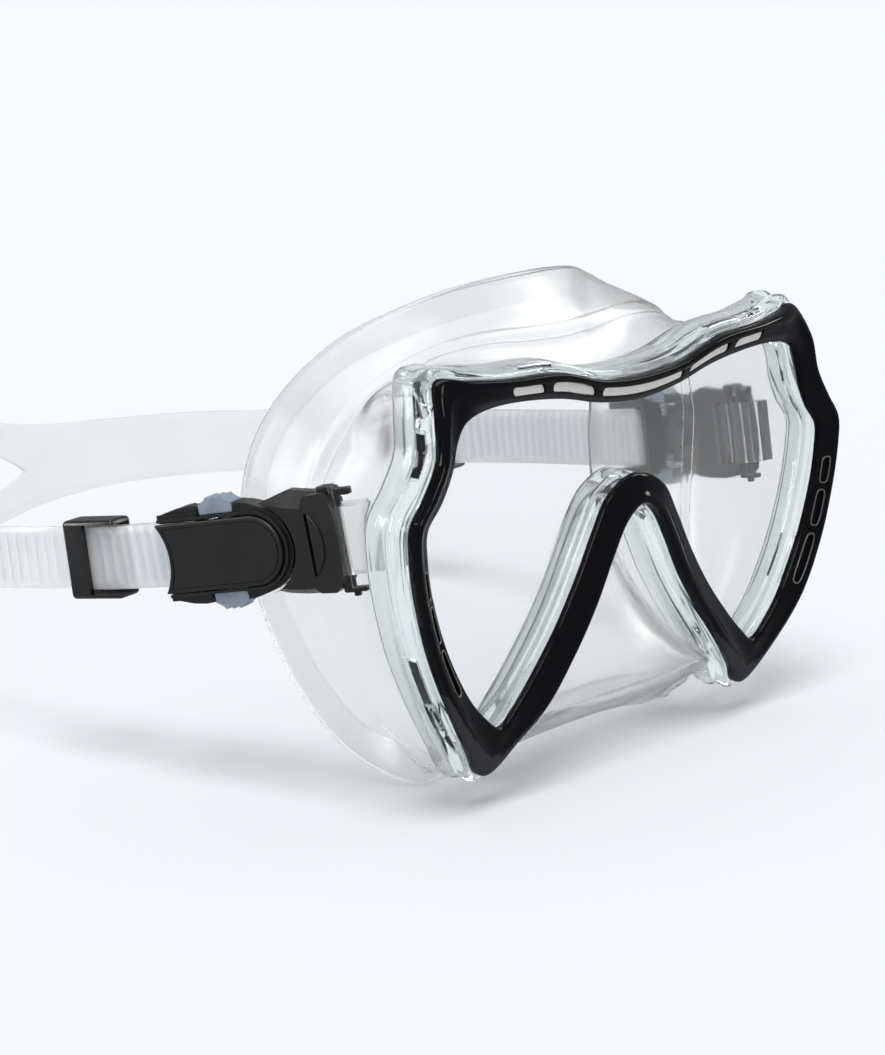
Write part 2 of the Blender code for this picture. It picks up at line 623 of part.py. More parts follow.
def main():
    clear_scene()
    gloss_black = material("gloss_black", (0.01, 0.01, 0.011), 0.12)
    matte_black = material("matte_black", (0.02, 0.02, 0.021), 0.55)
    clear_plastic = material("clear_plastic", (0.82, 0.88, 0.86), 0.06, alpha=0.4)
    silicone = material("clear_silicone", (0.85, 0.87, 0.88), 0.35, alpha=0.5)
    glass = material("glass", (0.9, 0.95, 0.95), 0.02, alpha=0.2)
    grey = material("button_grey", (0.33, 0.39, 0.47), 0.5)
    steel = material("steel", (0.6, 0.6, 0.62), 0.3, 1.0)
    build_bezel(gloss_black)
    build_lens(glass)
    build_frame(clear_plastic)
    build_skirt(silicone)
    build_strap(silicone)
    for side in (1, -1):
        build_yoke(side, matte_black, steel)
        build_buckle_body(side, matte_black)
        build_cover(side, matte_black)
        build_buttons(side, grey, steel)
        build_roller(side, matte_black)
        build_pawl(side, matte_black)
        build_keeper(side, matte_black)


main()
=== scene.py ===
"""Looks of the diving mask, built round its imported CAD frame.

Sizes are in millimetres in the mask's own axes, as in the design: x = 0 is the middle, the lens
faces -Y from y = 0 at the bezel's ridge, and z = 0 is the top of the nose arch.
"""
import json
import math

import bmesh
import bpy
from mathutils import Matrix, Vector


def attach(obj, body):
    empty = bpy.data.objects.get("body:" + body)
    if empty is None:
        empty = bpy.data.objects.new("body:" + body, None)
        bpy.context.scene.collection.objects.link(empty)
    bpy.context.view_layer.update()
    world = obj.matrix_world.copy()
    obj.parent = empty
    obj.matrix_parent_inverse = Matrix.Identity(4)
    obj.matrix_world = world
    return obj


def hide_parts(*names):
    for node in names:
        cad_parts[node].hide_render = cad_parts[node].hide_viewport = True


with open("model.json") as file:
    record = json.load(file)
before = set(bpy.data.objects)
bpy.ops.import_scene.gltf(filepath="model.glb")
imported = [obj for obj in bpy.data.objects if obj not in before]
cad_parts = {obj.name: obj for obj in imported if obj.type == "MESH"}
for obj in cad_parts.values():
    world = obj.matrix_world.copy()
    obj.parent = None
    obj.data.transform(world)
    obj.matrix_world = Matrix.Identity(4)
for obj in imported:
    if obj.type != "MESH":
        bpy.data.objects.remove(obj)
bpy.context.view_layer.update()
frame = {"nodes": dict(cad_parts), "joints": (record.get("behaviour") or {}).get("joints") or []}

MM = 0.001
TILT_AXIS = Vector((0.0, 46.7, -3.2))
TILT_JOINT = next(j for j in frame["joints"] if j["name"] == "strap_tilt")
ORIGIN = TILT_AXIS - Vector(TILT_JOINT["pos_m"]) / MM
STEPS = 8  # points on a smooth outline for each point given
SIDES = (("left", 1), ("right", -1))

# ---------------- outlines, as in the design
BEZEL_EDGE = [  # (x, z, sweep to the rear)
    (0, 30.2, 0), (15, 31.3, 0), (30, 35.0, 0), (46, 35.9, 0.5), (58, 37.0, 2.5), (65.4, 37.4, 5),
    (68.6, 30, 2), (69.8, 21.5, 0.5), (74.2, 14.4, 0), (78.7, 8.5, 0), (79.1, 2, 0),
    (77.3, -8.5, 0), (73, -21.8, 0), (66, -35.2, 0.5), (57, -47, 3), (49, -55.3, 6),
    (41.5, -48.6, 3), (33.5, -41, 0.5), (24.2, -30.4, 0), (17, -20.8, 0), (11, -10.5, 0),
    (6, -3.2, 0), (0, 0, 0)]
LENS_OPENING = [  # (x, z)
    (0, 24.3), (14, 25.6), (28, 28.6), (43, 30.2), (54, 30.1), (60.8, 28.2),
    (63.8, 24), (65.3, 18.2), (68.7, 12), (73.2, 6.8), (73.4, 1),
    (71.8, -8), (67.2, -20.5), (60.3, -32.4), (54.2, -39.2), (48.2, -43.2),
    (43, -39.8), (36.3, -33.4), (28.4, -24.6), (21.3, -14.6), (15.6, -5),
    (9.8, 3.1), (0, 6.9)]
SKIRT_MIDDLE = [  # (x, y, z) where the flange starts
    (0, 26.5, 37.8), (12, 27, 38.2), (25, 28.5, 38.6), (37, 31, 37.3), (47.5, 34, 33.8), (55.5, 37, 29),
    (61, 39, 23.5), (65, 40.5, 17.5), (67.5, 41.5, 11.5), (69, 42, 5.5), (69, 42, -1),
    (67.5, 41, -11), (64.5, 38.5, -23), (60.5, 34.5, -35), (55.5, 29.5, -46.5), (49, 23.5, -56),
    (41.5, 19.5, -53.5), (33, 5.5, -46.5), (28, 2, -44.6), (21.5, 0.5, -43.9), (14.5, -0.3, -43.4),
    (7.2, -0.7, -43.1), (0, -0.8, -43)]
SKIRT_EDGE_LINE = [  # (x, y, z) of the free edge
    (0, 38, 50), (11, 39.3, 49.5), (23, 42, 47.9), (34, 47, 44.4), (44, 52.8, 39.6), (52, 57, 33.6),
    (58.5, 60, 27), (63, 62.5, 19.7), (65.8, 64, 12), (67, 64.8, 4.5), (67, 65, -3.5),
    (66, 63, -15), (64.5, 58, -29), (61.5, 50.5, -43.5), (56.5, 41, -55.5), (49, 30, -62),
    (41, 26.5, -62), (32, 26, -61.2), (24, 25.5, -59.8), (17, 25, -59), (11, 24.6, -58.5),
    (5.5, 24.3, -58.3), (0, 24.2, -58.2)]
STRAP_RUN = [  # (x, y, z, half height) of the left half
    (80.9, 71.5, -8.4, 7.3), (84.3, 84, -10.7, 7.3), (86.4, 97, -12.8, 7.3), (88.5, 110, -14.9, 7.3),
    (89.4, 128, -17.6, 7.4), (86.8, 150, -20.6, 7.8), (82, 175, -23.8, 8.3), (76, 198, -26.8, 8.8),
    (68.5, 222, -30.2, 9.3), (57, 243, -34, 10), (40, 258, -37.6, 12.5), (20, 266, -39.6, 19),
    (0, 268.5, -40, 22.5)]
# Places along the rim are counted in the points of its outline, from the top middle
TIP_PLACE = 15  # lowest tip
NOSE_FROM = 16  # where the nose pocket starts
BEZEL_SLOTS = [(-1.05, 1.05), (1.22, 2.26), (2.42, 3.16), (-2.26, -1.22), (-3.16, -2.42)]
SLOT_BAND = (0.28, 0.68)  # share of the way from the lens opening to the bezel's edge
POINT_SPACING = 15.0  # length along the top edge between two outline points
LENS_FRONT, LENS_BACK = 4.3, 7.5
TEMPLE_OVALS = [(10.68, 0.31), (11.47, 0.33), (12.4, 0.45)]  # middle and half length
HOOKS = [(2.0, 2.7), (6.3, 7.7), (12.0, 12.9), (-2.7, -2.0), (-7.7, -6.3), (-12.9, -12.0)]
FRAME_SWEEP = 0.9  # share of the bezel's sweep that the frame's windows follow

# ---------------- buckle: s rearward, v up and w outward from the swivel pin
BUCKLE_YAW, BUCKLE_SLOPE = math.radians(14.0), math.radians(12.0)
BUCKLE_PIVOT = Vector((83.3, 45.6, -3.2))
REAR = Vector((math.sin(BUCKLE_YAW) * math.cos(BUCKLE_SLOPE),
               math.cos(BUCKLE_YAW) * math.cos(BUCKLE_SLOPE), -math.sin(BUCKLE_SLOPE)))
OUT = Vector((math.cos(BUCKLE_YAW), -math.sin(BUCKLE_YAW), 0))
UP = OUT.cross(REAR)
BAR_S, BAR_W = -21.0, -3.9
ROLLER_S, ROLLER_W, ROLLER_RADIUS = 15.5, -6.5, 1.6
BODY_RADIUS, BODY_LENGTH, COVER_HALF, COVER_REAR = 9.9, 24.0, 7.9, 22.0
STRAP_THICKNESS, STRAP_HALF, TAIL_OFFSET = 1.5, 7.3, 2.1
KEEPER_PLACE = {1: 4.68, -1: 1.55}  # on the strap's run, left and right
TAIL_PLACE = {1: 4.95, -1: 1.78}
RIB_PITCH, RIB_HEIGHT, RIBBED_TO = 3.0, 0.36, 133.0
STRAP_COLUMNS = 15  # points across each face of the band
PAD_FROM = 220.0  # the pad behind the head, with its chevrons, starts here


# ---------------- curves and solids
def whole_outline(half):
    """Closed outline from its left half, given from the top middle round to the bottom middle."""
    return half + [(-p[0], *p[1:]) for p in half[-2:0:-1]]


def catmull_rom(a, b, c, d, t):
    """Value from b (t = 0) to c (t = 1), for numbers or vectors."""
    return (b * 2 + (c - a) * t + (a * 2 - b * 5 + c * 4 - d) * t ** 2 + (b * 3 - a - c * 3 + d) * t ** 3) / 2


def smooth_at(points, place):
    """Point on a closed smooth curve, at a position counted in its control points."""
    i = math.floor(place)
    near = [points[(i + k) % len(points)] for k in (-1, 0, 1, 2)]
    return tuple(catmull_rom(*values, place - i) for values in zip(*near))


def smooth_loop(half):
    """Whole outline as a dense smooth loop."""
    points = whole_outline(half)
    return [smooth_at(points, i / STEPS) for i in range(len(points) * STEPS)]


def outward(loop):
    """Outward normals of a closed (x, z) loop."""
    result = []
    for i in range(len(loop)):
        before, after = loop[i - 1], loop[(i + 1) % len(loop)]
        dx, dz = after[0] - before[0], after[1] - before[1]
        size = math.hypot(dx, dz) or 1.0
        result.append((-dz / size, dx / size))
    return result


def offset_loop(loop, normals, distance):
    return [(p[0] + n[0] * distance, p[1] + n[1] * distance) for p, n in zip(loop, normals)]


EDGE = smooth_loop(BEZEL_EDGE)
OPENING = smooth_loop(LENS_OPENING)
EDGE_OUT = outward(EDGE)
OPENING_OUT = outward(OPENING)


def across(t):
    """Loop between the lens opening (0) and the bezel's edge (1)."""
    return [(a[0] + (b[0] - a[0]) * t, a[1] + (b[1] - a[1]) * t) for a, b in zip(OPENING, EDGE)]


def lift(loop, depth, sweep=0.0):
    """A loop in space at a depth, swept back by a share of the bezel's sweep."""
    return [(p[0], depth + sweep * e[2], p[1]) for p, e in zip(loop, EDGE)]


def ring_solid(rings):
    """Closed band: each ring joins the next and the last joins the first."""
    count = len(rings[0])
    verts = [p for ring in rings for p in ring]
    faces = []
    for j in range(len(rings)):
        k = (j + 1) % len(rings)
        for i in range(count):
            n = (i + 1) % count
            faces.append((j * count + i, j * count + n, k * count + n, k * count + i))
    return verts, faces


def tube_solid(rings):
    """Rings joined end to end, with a cap on the first and the last."""
    count = len(rings[0])
    verts = [p for ring in rings for p in ring]
    faces = [tuple(range(count)), tuple(range((len(rings) - 1) * count, len(rings) * count))]
    for j in range(len(rings) - 1):
        for i in range(count):
            n = (i + 1) % count
            faces.append((j * count + i, j * count + n, (j + 1) * count + n, (j + 1) * count + i))
    return verts, faces


def prism(outline, low, high):
    """Flat outline carried from one height to another."""
    return tube_solid([[(a, b, low) for a, b in outline], [(a, b, high) for a, b in outline]])


def turned(shape):
    """Swap a solid's second and third axes, so that a prism stands along the second."""
    verts, faces = shape
    return [(a, c, b) for a, b, c in verts], faces


def box(low, high):
    return prism([(low[0], low[1]), (high[0], low[1]), (high[0], high[1]), (low[0], high[1])],
                 low[2], high[2])


def arc(radius, start, end, steps, centre=(0.0, 0.0)):
    """Points on a circle between two angles in degrees."""
    angles = [math.radians(start + (end - start) * i / steps) for i in range(steps + 1)]
    return [(centre[0] + radius * math.cos(a), centre[1] + radius * math.sin(a)) for a in angles]


def lathe(profile, centre):
    """Solid turned about the v axis at (s, w), from (radius, v) pairs."""
    sides = 32
    return tube_solid([[(centre[0] + r * math.cos(2 * math.pi * i / sides), v,
                         centre[1] + r * math.sin(2 * math.pi * i / sides)) for i in range(sides)]
                       for r, v in profile])


def smoothstep(low, high, x):
    """0 at low, 1 at high and eased between; low may be the larger of the two."""
    t = min(max((x - low) / (high - low), 0.0), 1.0)
    return t * t * (3 - 2 * t)


# ---------------- objects
def new_object(name, shape, mat, angle=35):
    """Mesh object from points in mask millimetres; its origin stays at the world's."""
    verts, faces = shape
    mesh = bpy.data.meshes.new(name)
    bm = bmesh.new()
    points = [bm.verts.new((Vector(p) - ORIGIN) * MM) for p in verts]
    for face in faces:
        bm.faces.new([points[i] for i in face])
    bmesh.ops.recalc_face_normals(bm, faces=bm.faces)
    bm.to_mesh(mesh)
    bm.free()
    mesh.materials.append(mat)
    obj = bpy.data.objects.new(name, mesh)
    bpy.context.scene.collection.objects.link(obj)
    shade(obj, angle)
    return obj


def shade(obj, angle=35):
    """Smooth shading, with sharp edges above the angle."""
    obj.data.shade_smooth()
    obj.data.set_sharp_from_angle(angle=math.radians(angle))


def combine(target, other, operation):
    """Cut or join another closed mesh and remove it."""
    boolean = target.modifiers.new(operation.lower(), 'BOOLEAN')
    boolean.operation = operation
    boolean.solver = 'EXACT'
    boolean.object = other
    settle(target)
    bpy.data.objects.remove(other, do_unlink=True)


def settle(obj):
    """Turn the object's modifiers into plain mesh."""
    bpy.context.view_layer.update()
    depsgraph = bpy.context.evaluated_depsgraph_get()
    mesh = bpy.data.meshes.new_from_object(obj.evaluated_get(depsgraph))
    obj.modifiers.clear()
    obj.data = mesh


def soften(obj, width, segments=3, angle=30):
    """Round every edge sharper than the angle."""
    bevel = obj.modifiers.new("bevel", 'BEVEL')
    bevel.width = width * MM
    bevel.segments = segments
    bevel.limit_method = 'ANGLE'
    bevel.angle_limit = math.radians(angle)
    settle(obj)
    shade(obj, 50)
    obj.modifiers.new("flat_faces", 'WEIGHTED_NORMAL').keep_sharp = True
    settle(obj)
    return obj


def place(obj, body, slot, *nodes):
    """Put a piece on its body and hide the CAD nodes that it stands for; the slot (its finish) is not used.
    """
    if nodes:
        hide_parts(*nodes)
    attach(obj, body)


# ---------------- materials
def new_material(name, color, roughness, **inputs):
    """Principled material; inputs are sockets by name, with _ for each space."""
    mat = bpy.data.materials.new(name)
    mat.use_nodes = True
    shader = mat.node_tree.nodes["Principled BSDF"]
    shader.inputs["Base Color"].default_value = (*color, 1.0)
    shader.inputs["Roughness"].default_value = roughness
    for label, value in inputs.items():
        shader.inputs[label.replace("_", " ")].default_value = value
    return mat, mat.node_tree, shader


def noise(tree, scale, detail=2.0, stretch=(1, 1, 1)):
    """Noise in object space, in features per metre."""
    where = tree.nodes.new("ShaderNodeTexCoord")
    mapping = tree.nodes.new("ShaderNodeMapping")
    mapping.inputs["Scale"].default_value = stretch
    texture = tree.nodes.new("ShaderNodeTexNoise")
    texture.inputs["Scale"].default_value = scale
    texture.inputs["Detail"].default_value = detail
    tree.links.new(where.outputs["Object"], mapping.inputs["Vector"])
    tree.links.new(mapping.outputs["Vector"], texture.inputs["Vector"])
    return texture.outputs["Fac"]


def spread(tree, value, low, high, start=0.3, end=0.7):
    """Map a noise value to a range."""
    remap = tree.nodes.new("ShaderNodeMapRange")
    remap.inputs["From Min"].default_value = start
    remap.inputs["From Max"].default_value = end
    remap.inputs["To Min"].default_value = low
    remap.inputs["To Max"].default_value = high
    tree.links.new(value, remap.inputs["Value"])
    return remap.outputs["Result"]


def tint(tree, value, first, second):
    """Colour between two, by a value."""
    mix = tree.nodes.new("ShaderNodeMix")
    mix.data_type = 'RGBA'
    mix.inputs["A"].default_value = (*first, 1.0)
    mix.inputs["B"].default_value = (*second, 1.0)
    tree.links.new(value, mix.inputs["Factor"])
    return mix.outputs["Result"]


def bumps(tree, shader, height, strength, distance):
    """Relief from a value; the distance is in metres."""
    bump = tree.nodes.new("ShaderNodeBump")
    bump.inputs["Strength"].default_value = strength
    bump.inputs["Distance"].default_value = distance
    tree.links.new(height, bump.inputs["Height"])
    tree.links.new(bump.outputs["Normal"], shader.inputs["Normal"])


def let_light_through(tree, shader, share):
    """Light on its way to other surfaces passes straight through, dimmed, so shadows stay clean."""
    path = tree.nodes.new("ShaderNodeLightPath")
    clear = tree.nodes.new("ShaderNodeBsdfTransparent")
    clear.inputs["Color"].default_value = (share, share, share, 1.0)
    seen = shader.outputs["BSDF"]
    for kind in ("Is Diffuse Ray", "Is Shadow Ray"):
        mix = tree.nodes.new("ShaderNodeMixShader")
        tree.links.new(path.outputs[kind], mix.inputs["Fac"])
        tree.links.new(seen, mix.inputs[1])
        tree.links.new(clear.outputs["BSDF"], mix.inputs[2])
        seen = mix.outputs["Shader"]
    tree.links.new(seen, tree.nodes["Material Output"].inputs["Surface"])


def mirrored_ray(tree):
    """1 for rays that a surface mirrors, 0 for all others."""
    path = tree.nodes.new("ShaderNodeLightPath")
    mirrored = tree.nodes.new("ShaderNodeMath")
    mirrored.operation = 'SUBTRACT'
    mirrored.use_clamp = True
    tree.links.new(path.outputs["Is Glossy Ray"], mirrored.inputs[0])
    tree.links.new(path.outputs["Is Transmission Ray"], mirrored.inputs[1])
    return mirrored.outputs["Value"]


def gloss_black_material():
    """Bezel: piano black with a moulded orange peel, satin where the mesh says so."""
    mat, tree, shader = new_material("bezel_gloss_black", (0.004, 0.004, 0.005), 0.08,
                                     Specular_IOR_Level=0.08)
    satin = tree.nodes.new("ShaderNodeAttribute")
    satin.attribute_name = "satin"
    grain = noise(tree, 9000, 2)
    peel = noise(tree, 160, 2)
    base = tint(tree, satin.outputs["Fac"], (0.004, 0.004, 0.005), (0.035, 0.035, 0.037))
    tree.links.new(base, shader.inputs["Base Color"])
    rough = tree.nodes.new("ShaderNodeMix")
    tree.links.new(satin.outputs["Fac"], rough.inputs["Factor"])
    tree.links.new(spread(tree, peel, 0.05, 0.11), rough.inputs["A"])
    tree.links.new(spread(tree, grain, 0.42, 0.52), rough.inputs["B"])
    tree.links.new(rough.outputs["Result"], shader.inputs["Roughness"])
    bumps(tree, shader, peel, 0.05, 0.0004)
    return mat


def matte_black_material(name, base, low, high, grain_scale=2600):
    """Fine-grained moulded plastic."""
    mat, tree, shader = new_material(name, base, 0.5, Specular_IOR_Level=0.5)
    grain = noise(tree, grain_scale, 3)
    cloud = noise(tree, 90, 3)
    lighter = tuple(c * 1.5 + 0.003 for c in base)
    tree.links.new(tint(tree, spread(tree, cloud, 0.0, 1.0), base, lighter), shader.inputs["Base Color"])
    tree.links.new(spread(tree, grain, low, high), shader.inputs["Roughness"])
    bumps(tree, shader, grain, 0.35, 0.00006)
    return mat


def lens_material():
    """Clear tempered glass: faint grey, mirrors more at grazing angles, where its grey turns more opaque as a
    painted reflection.
    """
    mat, tree, shader = new_material("lens_glass", (0.45, 0.46, 0.47), 0.02, IOR=1.5)
    facing = tree.nodes.new("ShaderNodeLayerWeight")
    grazing = tree.nodes.new("ShaderNodeMath")
    grazing.operation = 'POWER'
    grazing.inputs[1].default_value = 3.5
    tree.links.new(facing.outputs["Facing"], grazing.inputs[0])
    smear = noise(tree, 25, 4)
    tree.links.new(spread(tree, smear, 0.012, 0.035), shader.inputs["Roughness"])
    # Painted reflection: the grey base grows more opaque towards grazing angles.
    tree.links.new(spread(tree, grazing.outputs["Value"], 0.065, 0.6, 0, 1), shader.inputs["Alpha"])
    return mat


def clear_plastic_material():
    """Frame: polycarbonate that bends light, faintly green, with flow marks."""
    mat, tree, shader = new_material("frame_polycarbonate", (0.85, 0.89, 0.88), 0.05,
                                     IOR=1.22, Transmission_Weight=1.0)
    flow = noise(tree, 60, 3, (1, 1, 2))
    tree.links.new(spread(tree, flow, 0.03, 0.1), shader.inputs["Roughness"])
    tree.links.new(tint(tree, spread(tree, flow, 0, 1), (0.82, 0.87, 0.865), (0.88, 0.915, 0.91)),
                   shader.inputs["Base Color"])
    let_light_through(tree, shader, 0.86)
    return mat


def silicone_material(name, color, milk, rough_low, rough_high, passes):
    """Milky translucent silicone with a satin skin; darker and bluer where the mesh marks grooves between
    ribs, as painted shade in them.
    """
    mat, tree, shader = new_material(name, color, 0.3, IOR=1.18, Transmission_Weight=1.0 - milk,
                                     Coat_Weight=0.12, Coat_Roughness=0.2, Coat_IOR=1.4)
    haze = noise(tree, 45, 4)
    skin = noise(tree, 700, 2)
    tree.links.new(spread(tree, haze, rough_low, rough_high), shader.inputs["Roughness"])
    bright = tuple(min(1.0, c * 1.03) for c in color)
    groove = tree.nodes.new("ShaderNodeAttribute")
    groove.attribute_name = "groove"
    clouded = tint(tree, spread(tree, haze, 0, 1), color, bright)
    # Painted shade: the colour darkens and turns bluer in the grooves that the mesh marks.
    both = tint(tree, groove.outputs["Fac"], color, (color[0] * 0.84, color[1] * 0.89, color[2] * 0.94))
    tree.links.new(clouded, both.node.inputs["A"])
    tree.links.new(both, shader.inputs["Base Color"])
    bumps(tree, shader, skin, 0.06, 0.0002)
    let_light_through(tree, shader, passes)
    return mat


def ivory_material():
    mat, tree, shader = new_material("slot_insert_ivory", (0.78, 0.78, 0.71), 0.4,
                                     Transmission_Weight=0.2, IOR=1.45)
    cloud = noise(tree, 400, 2)
    tree.links.new(tint(tree, spread(tree, cloud, 0, 1), (0.80, 0.80, 0.73), (0.88, 0.88, 0.84)),
                   shader.inputs["Base Color"])
    return mat


def button_material():
    mat, tree, shader = new_material("button_blue_grey", (0.20, 0.26, 0.35), 0.55)
    grain = noise(tree, 3500, 3)
    cloud = noise(tree, 300, 2)
    tree.links.new(tint(tree, spread(tree, cloud, 0, 1), (0.20, 0.245, 0.31), (0.26, 0.31, 0.385)),
                   shader.inputs["Base Color"])
    tree.links.new(spread(tree, grain, 0.5, 0.65), shader.inputs["Roughness"])
    bumps(tree, shader, grain, 0.4, 0.00005)
    return mat


def steel_material():
    mat, tree, shader = new_material("stainless_steel", (0.55, 0.55, 0.57), 0.3, Metallic=1.0)
    brushed = noise(tree, 900, 3, (1, 1, 12))
    tree.links.new(spread(tree, brushed, 0.2, 0.42), shader.inputs["Roughness"])
    return mat


GLOSS_BLACK = gloss_black_material()
MATTE_BLACK = matte_black_material("buckle_matte_black", (0.003, 0.003, 0.0032), 0.34, 0.48)
KEEPER_BLACK = matte_black_material("keeper_satin_black", (0.002, 0.002, 0.0023), 0.26, 0.36, 1500)
LENS_GLASS = lens_material()
CLEAR_PLASTIC = clear_plastic_material()
SKIRT_SILICONE = silicone_material("skirt_silicone", (0.9, 0.9, 0.895), 0.035, 0.17, 0.25, 0.96)
STRAP_SILICONE = silicone_material("strap_silicone", (0.915, 0.92, 0.925), 0.36, 0.12, 0.2, 0.72)
# Lighter grey for the beads round the temple pockets: a painted highlight standing in for their lit edges.
RIM_HIGHLIGHT_GREY = matte_black_material("oval_rim_painted_highlight_grey", (0.07, 0.07, 0.068), 0.2, 0.3)
IVORY = ivory_material()
BUTTON_GREY = button_material()
STEEL = steel_material()


# ---------------- bezel, lens and frame
def rim_point(place, offset):
    """Point (x, z, sweep) beside the bezel's edge, at a position in outline points."""
    points = whole_outline(BEZEL_EDGE)
    here = smooth_at(points, place)
    before, after = smooth_at(points, place - 0.02), smooth_at(points, place + 0.02)
    dx, dz = after[0] - before[0], after[1] - before[1]
    size = math.hypot(dx, dz)
    return here[0] - dz / size * offset, here[1] + dx / size * offset, here[2]


def rim_block(first, last, offsets, depths):
    """Curved block that follows the bezel's edge."""
    rings = []
    steps = 16
    for i in range(steps + 1):
        place = first + (last - first) * i / steps
        ring = []
        for offset, y in ((offsets[0], depths[0]), (offsets[1], depths[0]),
                          (offsets[1], depths[1]), (offsets[0], depths[1])):
            x, z, sweep = rim_point(place, offset)
            ring.append((x, y + FRAME_SWEEP * sweep, z))
        rings.append(ring)
    return tube_solid(rings)


# (place from the lens opening to the edge, depth, share of the sweep), round the ring's section
BEZEL_PROFILE = [
    (0.0, 3.9, 0), (0.0, 2.75, 0), (0.02, 2.45, 0), (0.07, 2.2, 0), (0.15, 2.0, 0.05), (0.30, 1.58, 0.2),
    (0.48, 1.10, 0.35), (0.60, 0.78, 0.45), (0.66, 0.55, 0.5), (0.71, 0.30, 0.56), (0.78, 0.10, 0.68),
    (0.87, 0.0, 0.82), (0.94, 0.08, 0.92), (0.98, 0.30, 0.98), (1.0, 0.75, 1.0), (1.0, 3.1, 1.0),
    (0.97, 3.3, 0.97), (0.5, 3.9, 0.1)]


def outline_place(index):
    """Position along one half, in outline points from the top centre to the nose arch."""
    half = len(BEZEL_EDGE) - 1
    place = index / STEPS
    return min(place, 2 * half - place)


def satin_share(place, t):
    """1 on the matte inner edge along the top and on the facets under the two tips."""
    top = (1 - smoothstep(3.8, 5.0, place)) * (1 - smoothstep(0.24, 0.32, t)) * smoothstep(0.0, 0.04, t)
    reach = 0.56 + 0.46 * abs(place - TIP_PLACE) / 2.4
    tip = smoothstep(reach - 0.015, reach + 0.015, t) if place > 12 else 0.0
    return max(top, tip)


def slot_outline(first, last, shrink=0.0):
    """Rounded window between two outline places along the bezel's top band: (x, z) points."""
    edge, opening = whole_outline(BEZEL_EDGE), whole_outline(LENS_OPENING)
    steps = 48
    length = (last - first) * POINT_SPACING - 2 * shrink
    upper, lower = [], []
    for i in range(steps + 1):
        share = 0.5 - 0.5 * math.cos(math.pi * i / steps)
        p = first + (shrink + length * share) / POINT_SPACING
        a, b = smooth_at(opening, p), smooth_at(edge, p)
        band = math.dist(a[:2], b[:2])
        corner = 0.38 * (SLOT_BAND[1] - SLOT_BAND[0]) * band
        end = min(share, 1 - share) * length
        cut = corner - math.sqrt(corner ** 2 - (corner - end) ** 2) if end < corner else 0.0
        low = SLOT_BAND[0] + (cut + shrink) / band
        high = SLOT_BAND[1] - (cut + shrink) / band
        lower.append((a[0] + (b[0] - a[0]) * low, a[1] + (b[1] - a[1]) * low))
        upper.append((a[0] + (b[0] - a[0]) * high, a[1] + (b[1] - a[1]) * high))
    return upper + lower[::-1]


def bezel_depth(t, sweep):
    """Depth of the bezel's front surface, from the lens opening (0) to the edge (1)."""
    front = [row for row in BEZEL_PROFILE[1:] if row[1] < 3.0]
    for (t0, y0, sweep0), (t1, y1, sweep1) in zip(front, front[1:]):
        if t <= t1:
            share = (t - t0) / (t1 - t0) if t1 > t0 else 0.0
            return y0 + (y1 - y0) * share + (sweep0 + (sweep1 - sweep0) * share) * sweep
    return front[-1][1] + sweep


def temple_oval(centre, reach, side):
    """Both long edges of a pocket in the bezel's temple band: pairs of (x, y, z) on the surface."""
    edge, opening = whole_outline(BEZEL_EDGE), whole_outline(LENS_OPENING)
    middle, half_width, steps = 0.42, 0.19, 32
    rows = []
    for i in range(steps + 1):
        along = -math.cos(math.pi * i / steps)
        place = centre + reach * along
        half = half_width * max(1 - along ** 4, 0.0005) ** 0.25
        a, b = smooth_at(opening, place), smooth_at(edge, place)
        rows.append([(side * (a[0] + (b[0] - a[0]) * t), bezel_depth(t, b[2]), a[1] + (b[1] - a[1]) * t)
                     for t in (middle - half, middle + half)])
    return rows


def oval_pocket(rows):
    """Cutter from in front of the bezel down to the pocket's floor."""
    front, deep = -4.0, 0.9
    return tube_solid([[(lo[0], front, lo[2]), (hi[0], front, hi[2]), (hi[0], hi[1] + deep, hi[2]),
                        (lo[0], lo[1] + deep, lo[2])] for lo, hi in rows])


def oval_rim(rows):
    """Thin bead round a pocket."""
    loop = [lo for lo, hi in rows] + [hi for lo, hi in rows[::-1]]
    normals = outward([(x, z) for x, y, z in loop])
    rings = []
    for side, front in arc(0.2, 0, 300, 5):
        rings.append([(x + n[0] * side, y - 0.05 + front, z + n[1] * side)
                      for (x, y, z), n in zip(loop, normals)])
    return ring_solid(rings)


def build_bezel():
    rings = [lift(across(t), y, sweep) for t, y, sweep in BEZEL_PROFILE]
    bezel = new_object("bezel_ring", ring_solid(rings), GLOSS_BLACK)
    satin = bezel.data.attributes.new("satin", 'FLOAT', 'POINT')
    values = [satin_share(outline_place(i), t) if y < 3.0 else 0.0
              for t, y, sweep in BEZEL_PROFILE for i in range(len(EDGE))]
    satin.data.foreach_set("value", values)
    for first, last in BEZEL_SLOTS:
        cutter = new_object("slot_cutter", turned(prism(slot_outline(first, last), -6, 10)), GLOSS_BLACK)
        combine(bezel, cutter, 'DIFFERENCE')
    for name, side in SIDES:
        for i, (centre, reach) in enumerate(TEMPLE_OVALS):
            rows = temple_oval(centre, reach, side)
            combine(bezel, new_object("oval_cutter", oval_pocket(rows), GLOSS_BLACK), 'DIFFERENCE')
            # The bead's grey is a painted highlight along the pocket's edge.
            rim = new_object(f"oval_rim_{name}_{i + 1}", oval_rim(rows), RIM_HIGHLIGHT_GREY, 180)
            place(rim, "mask", "bezel_black")
    shade(bezel, 40)
    place(bezel, "mask", "bezel_black", "bezel")
    for i, (first, last) in enumerate(BEZEL_SLOTS):
        insert = turned(prism(slot_outline(first, last, 0.1), 1.75, 4.0))
        insert = new_object(f"slot_insert_{i + 1}", insert, IVORY)
        place(soften(insert, 0.15, 2), "mask", "frame_clear")


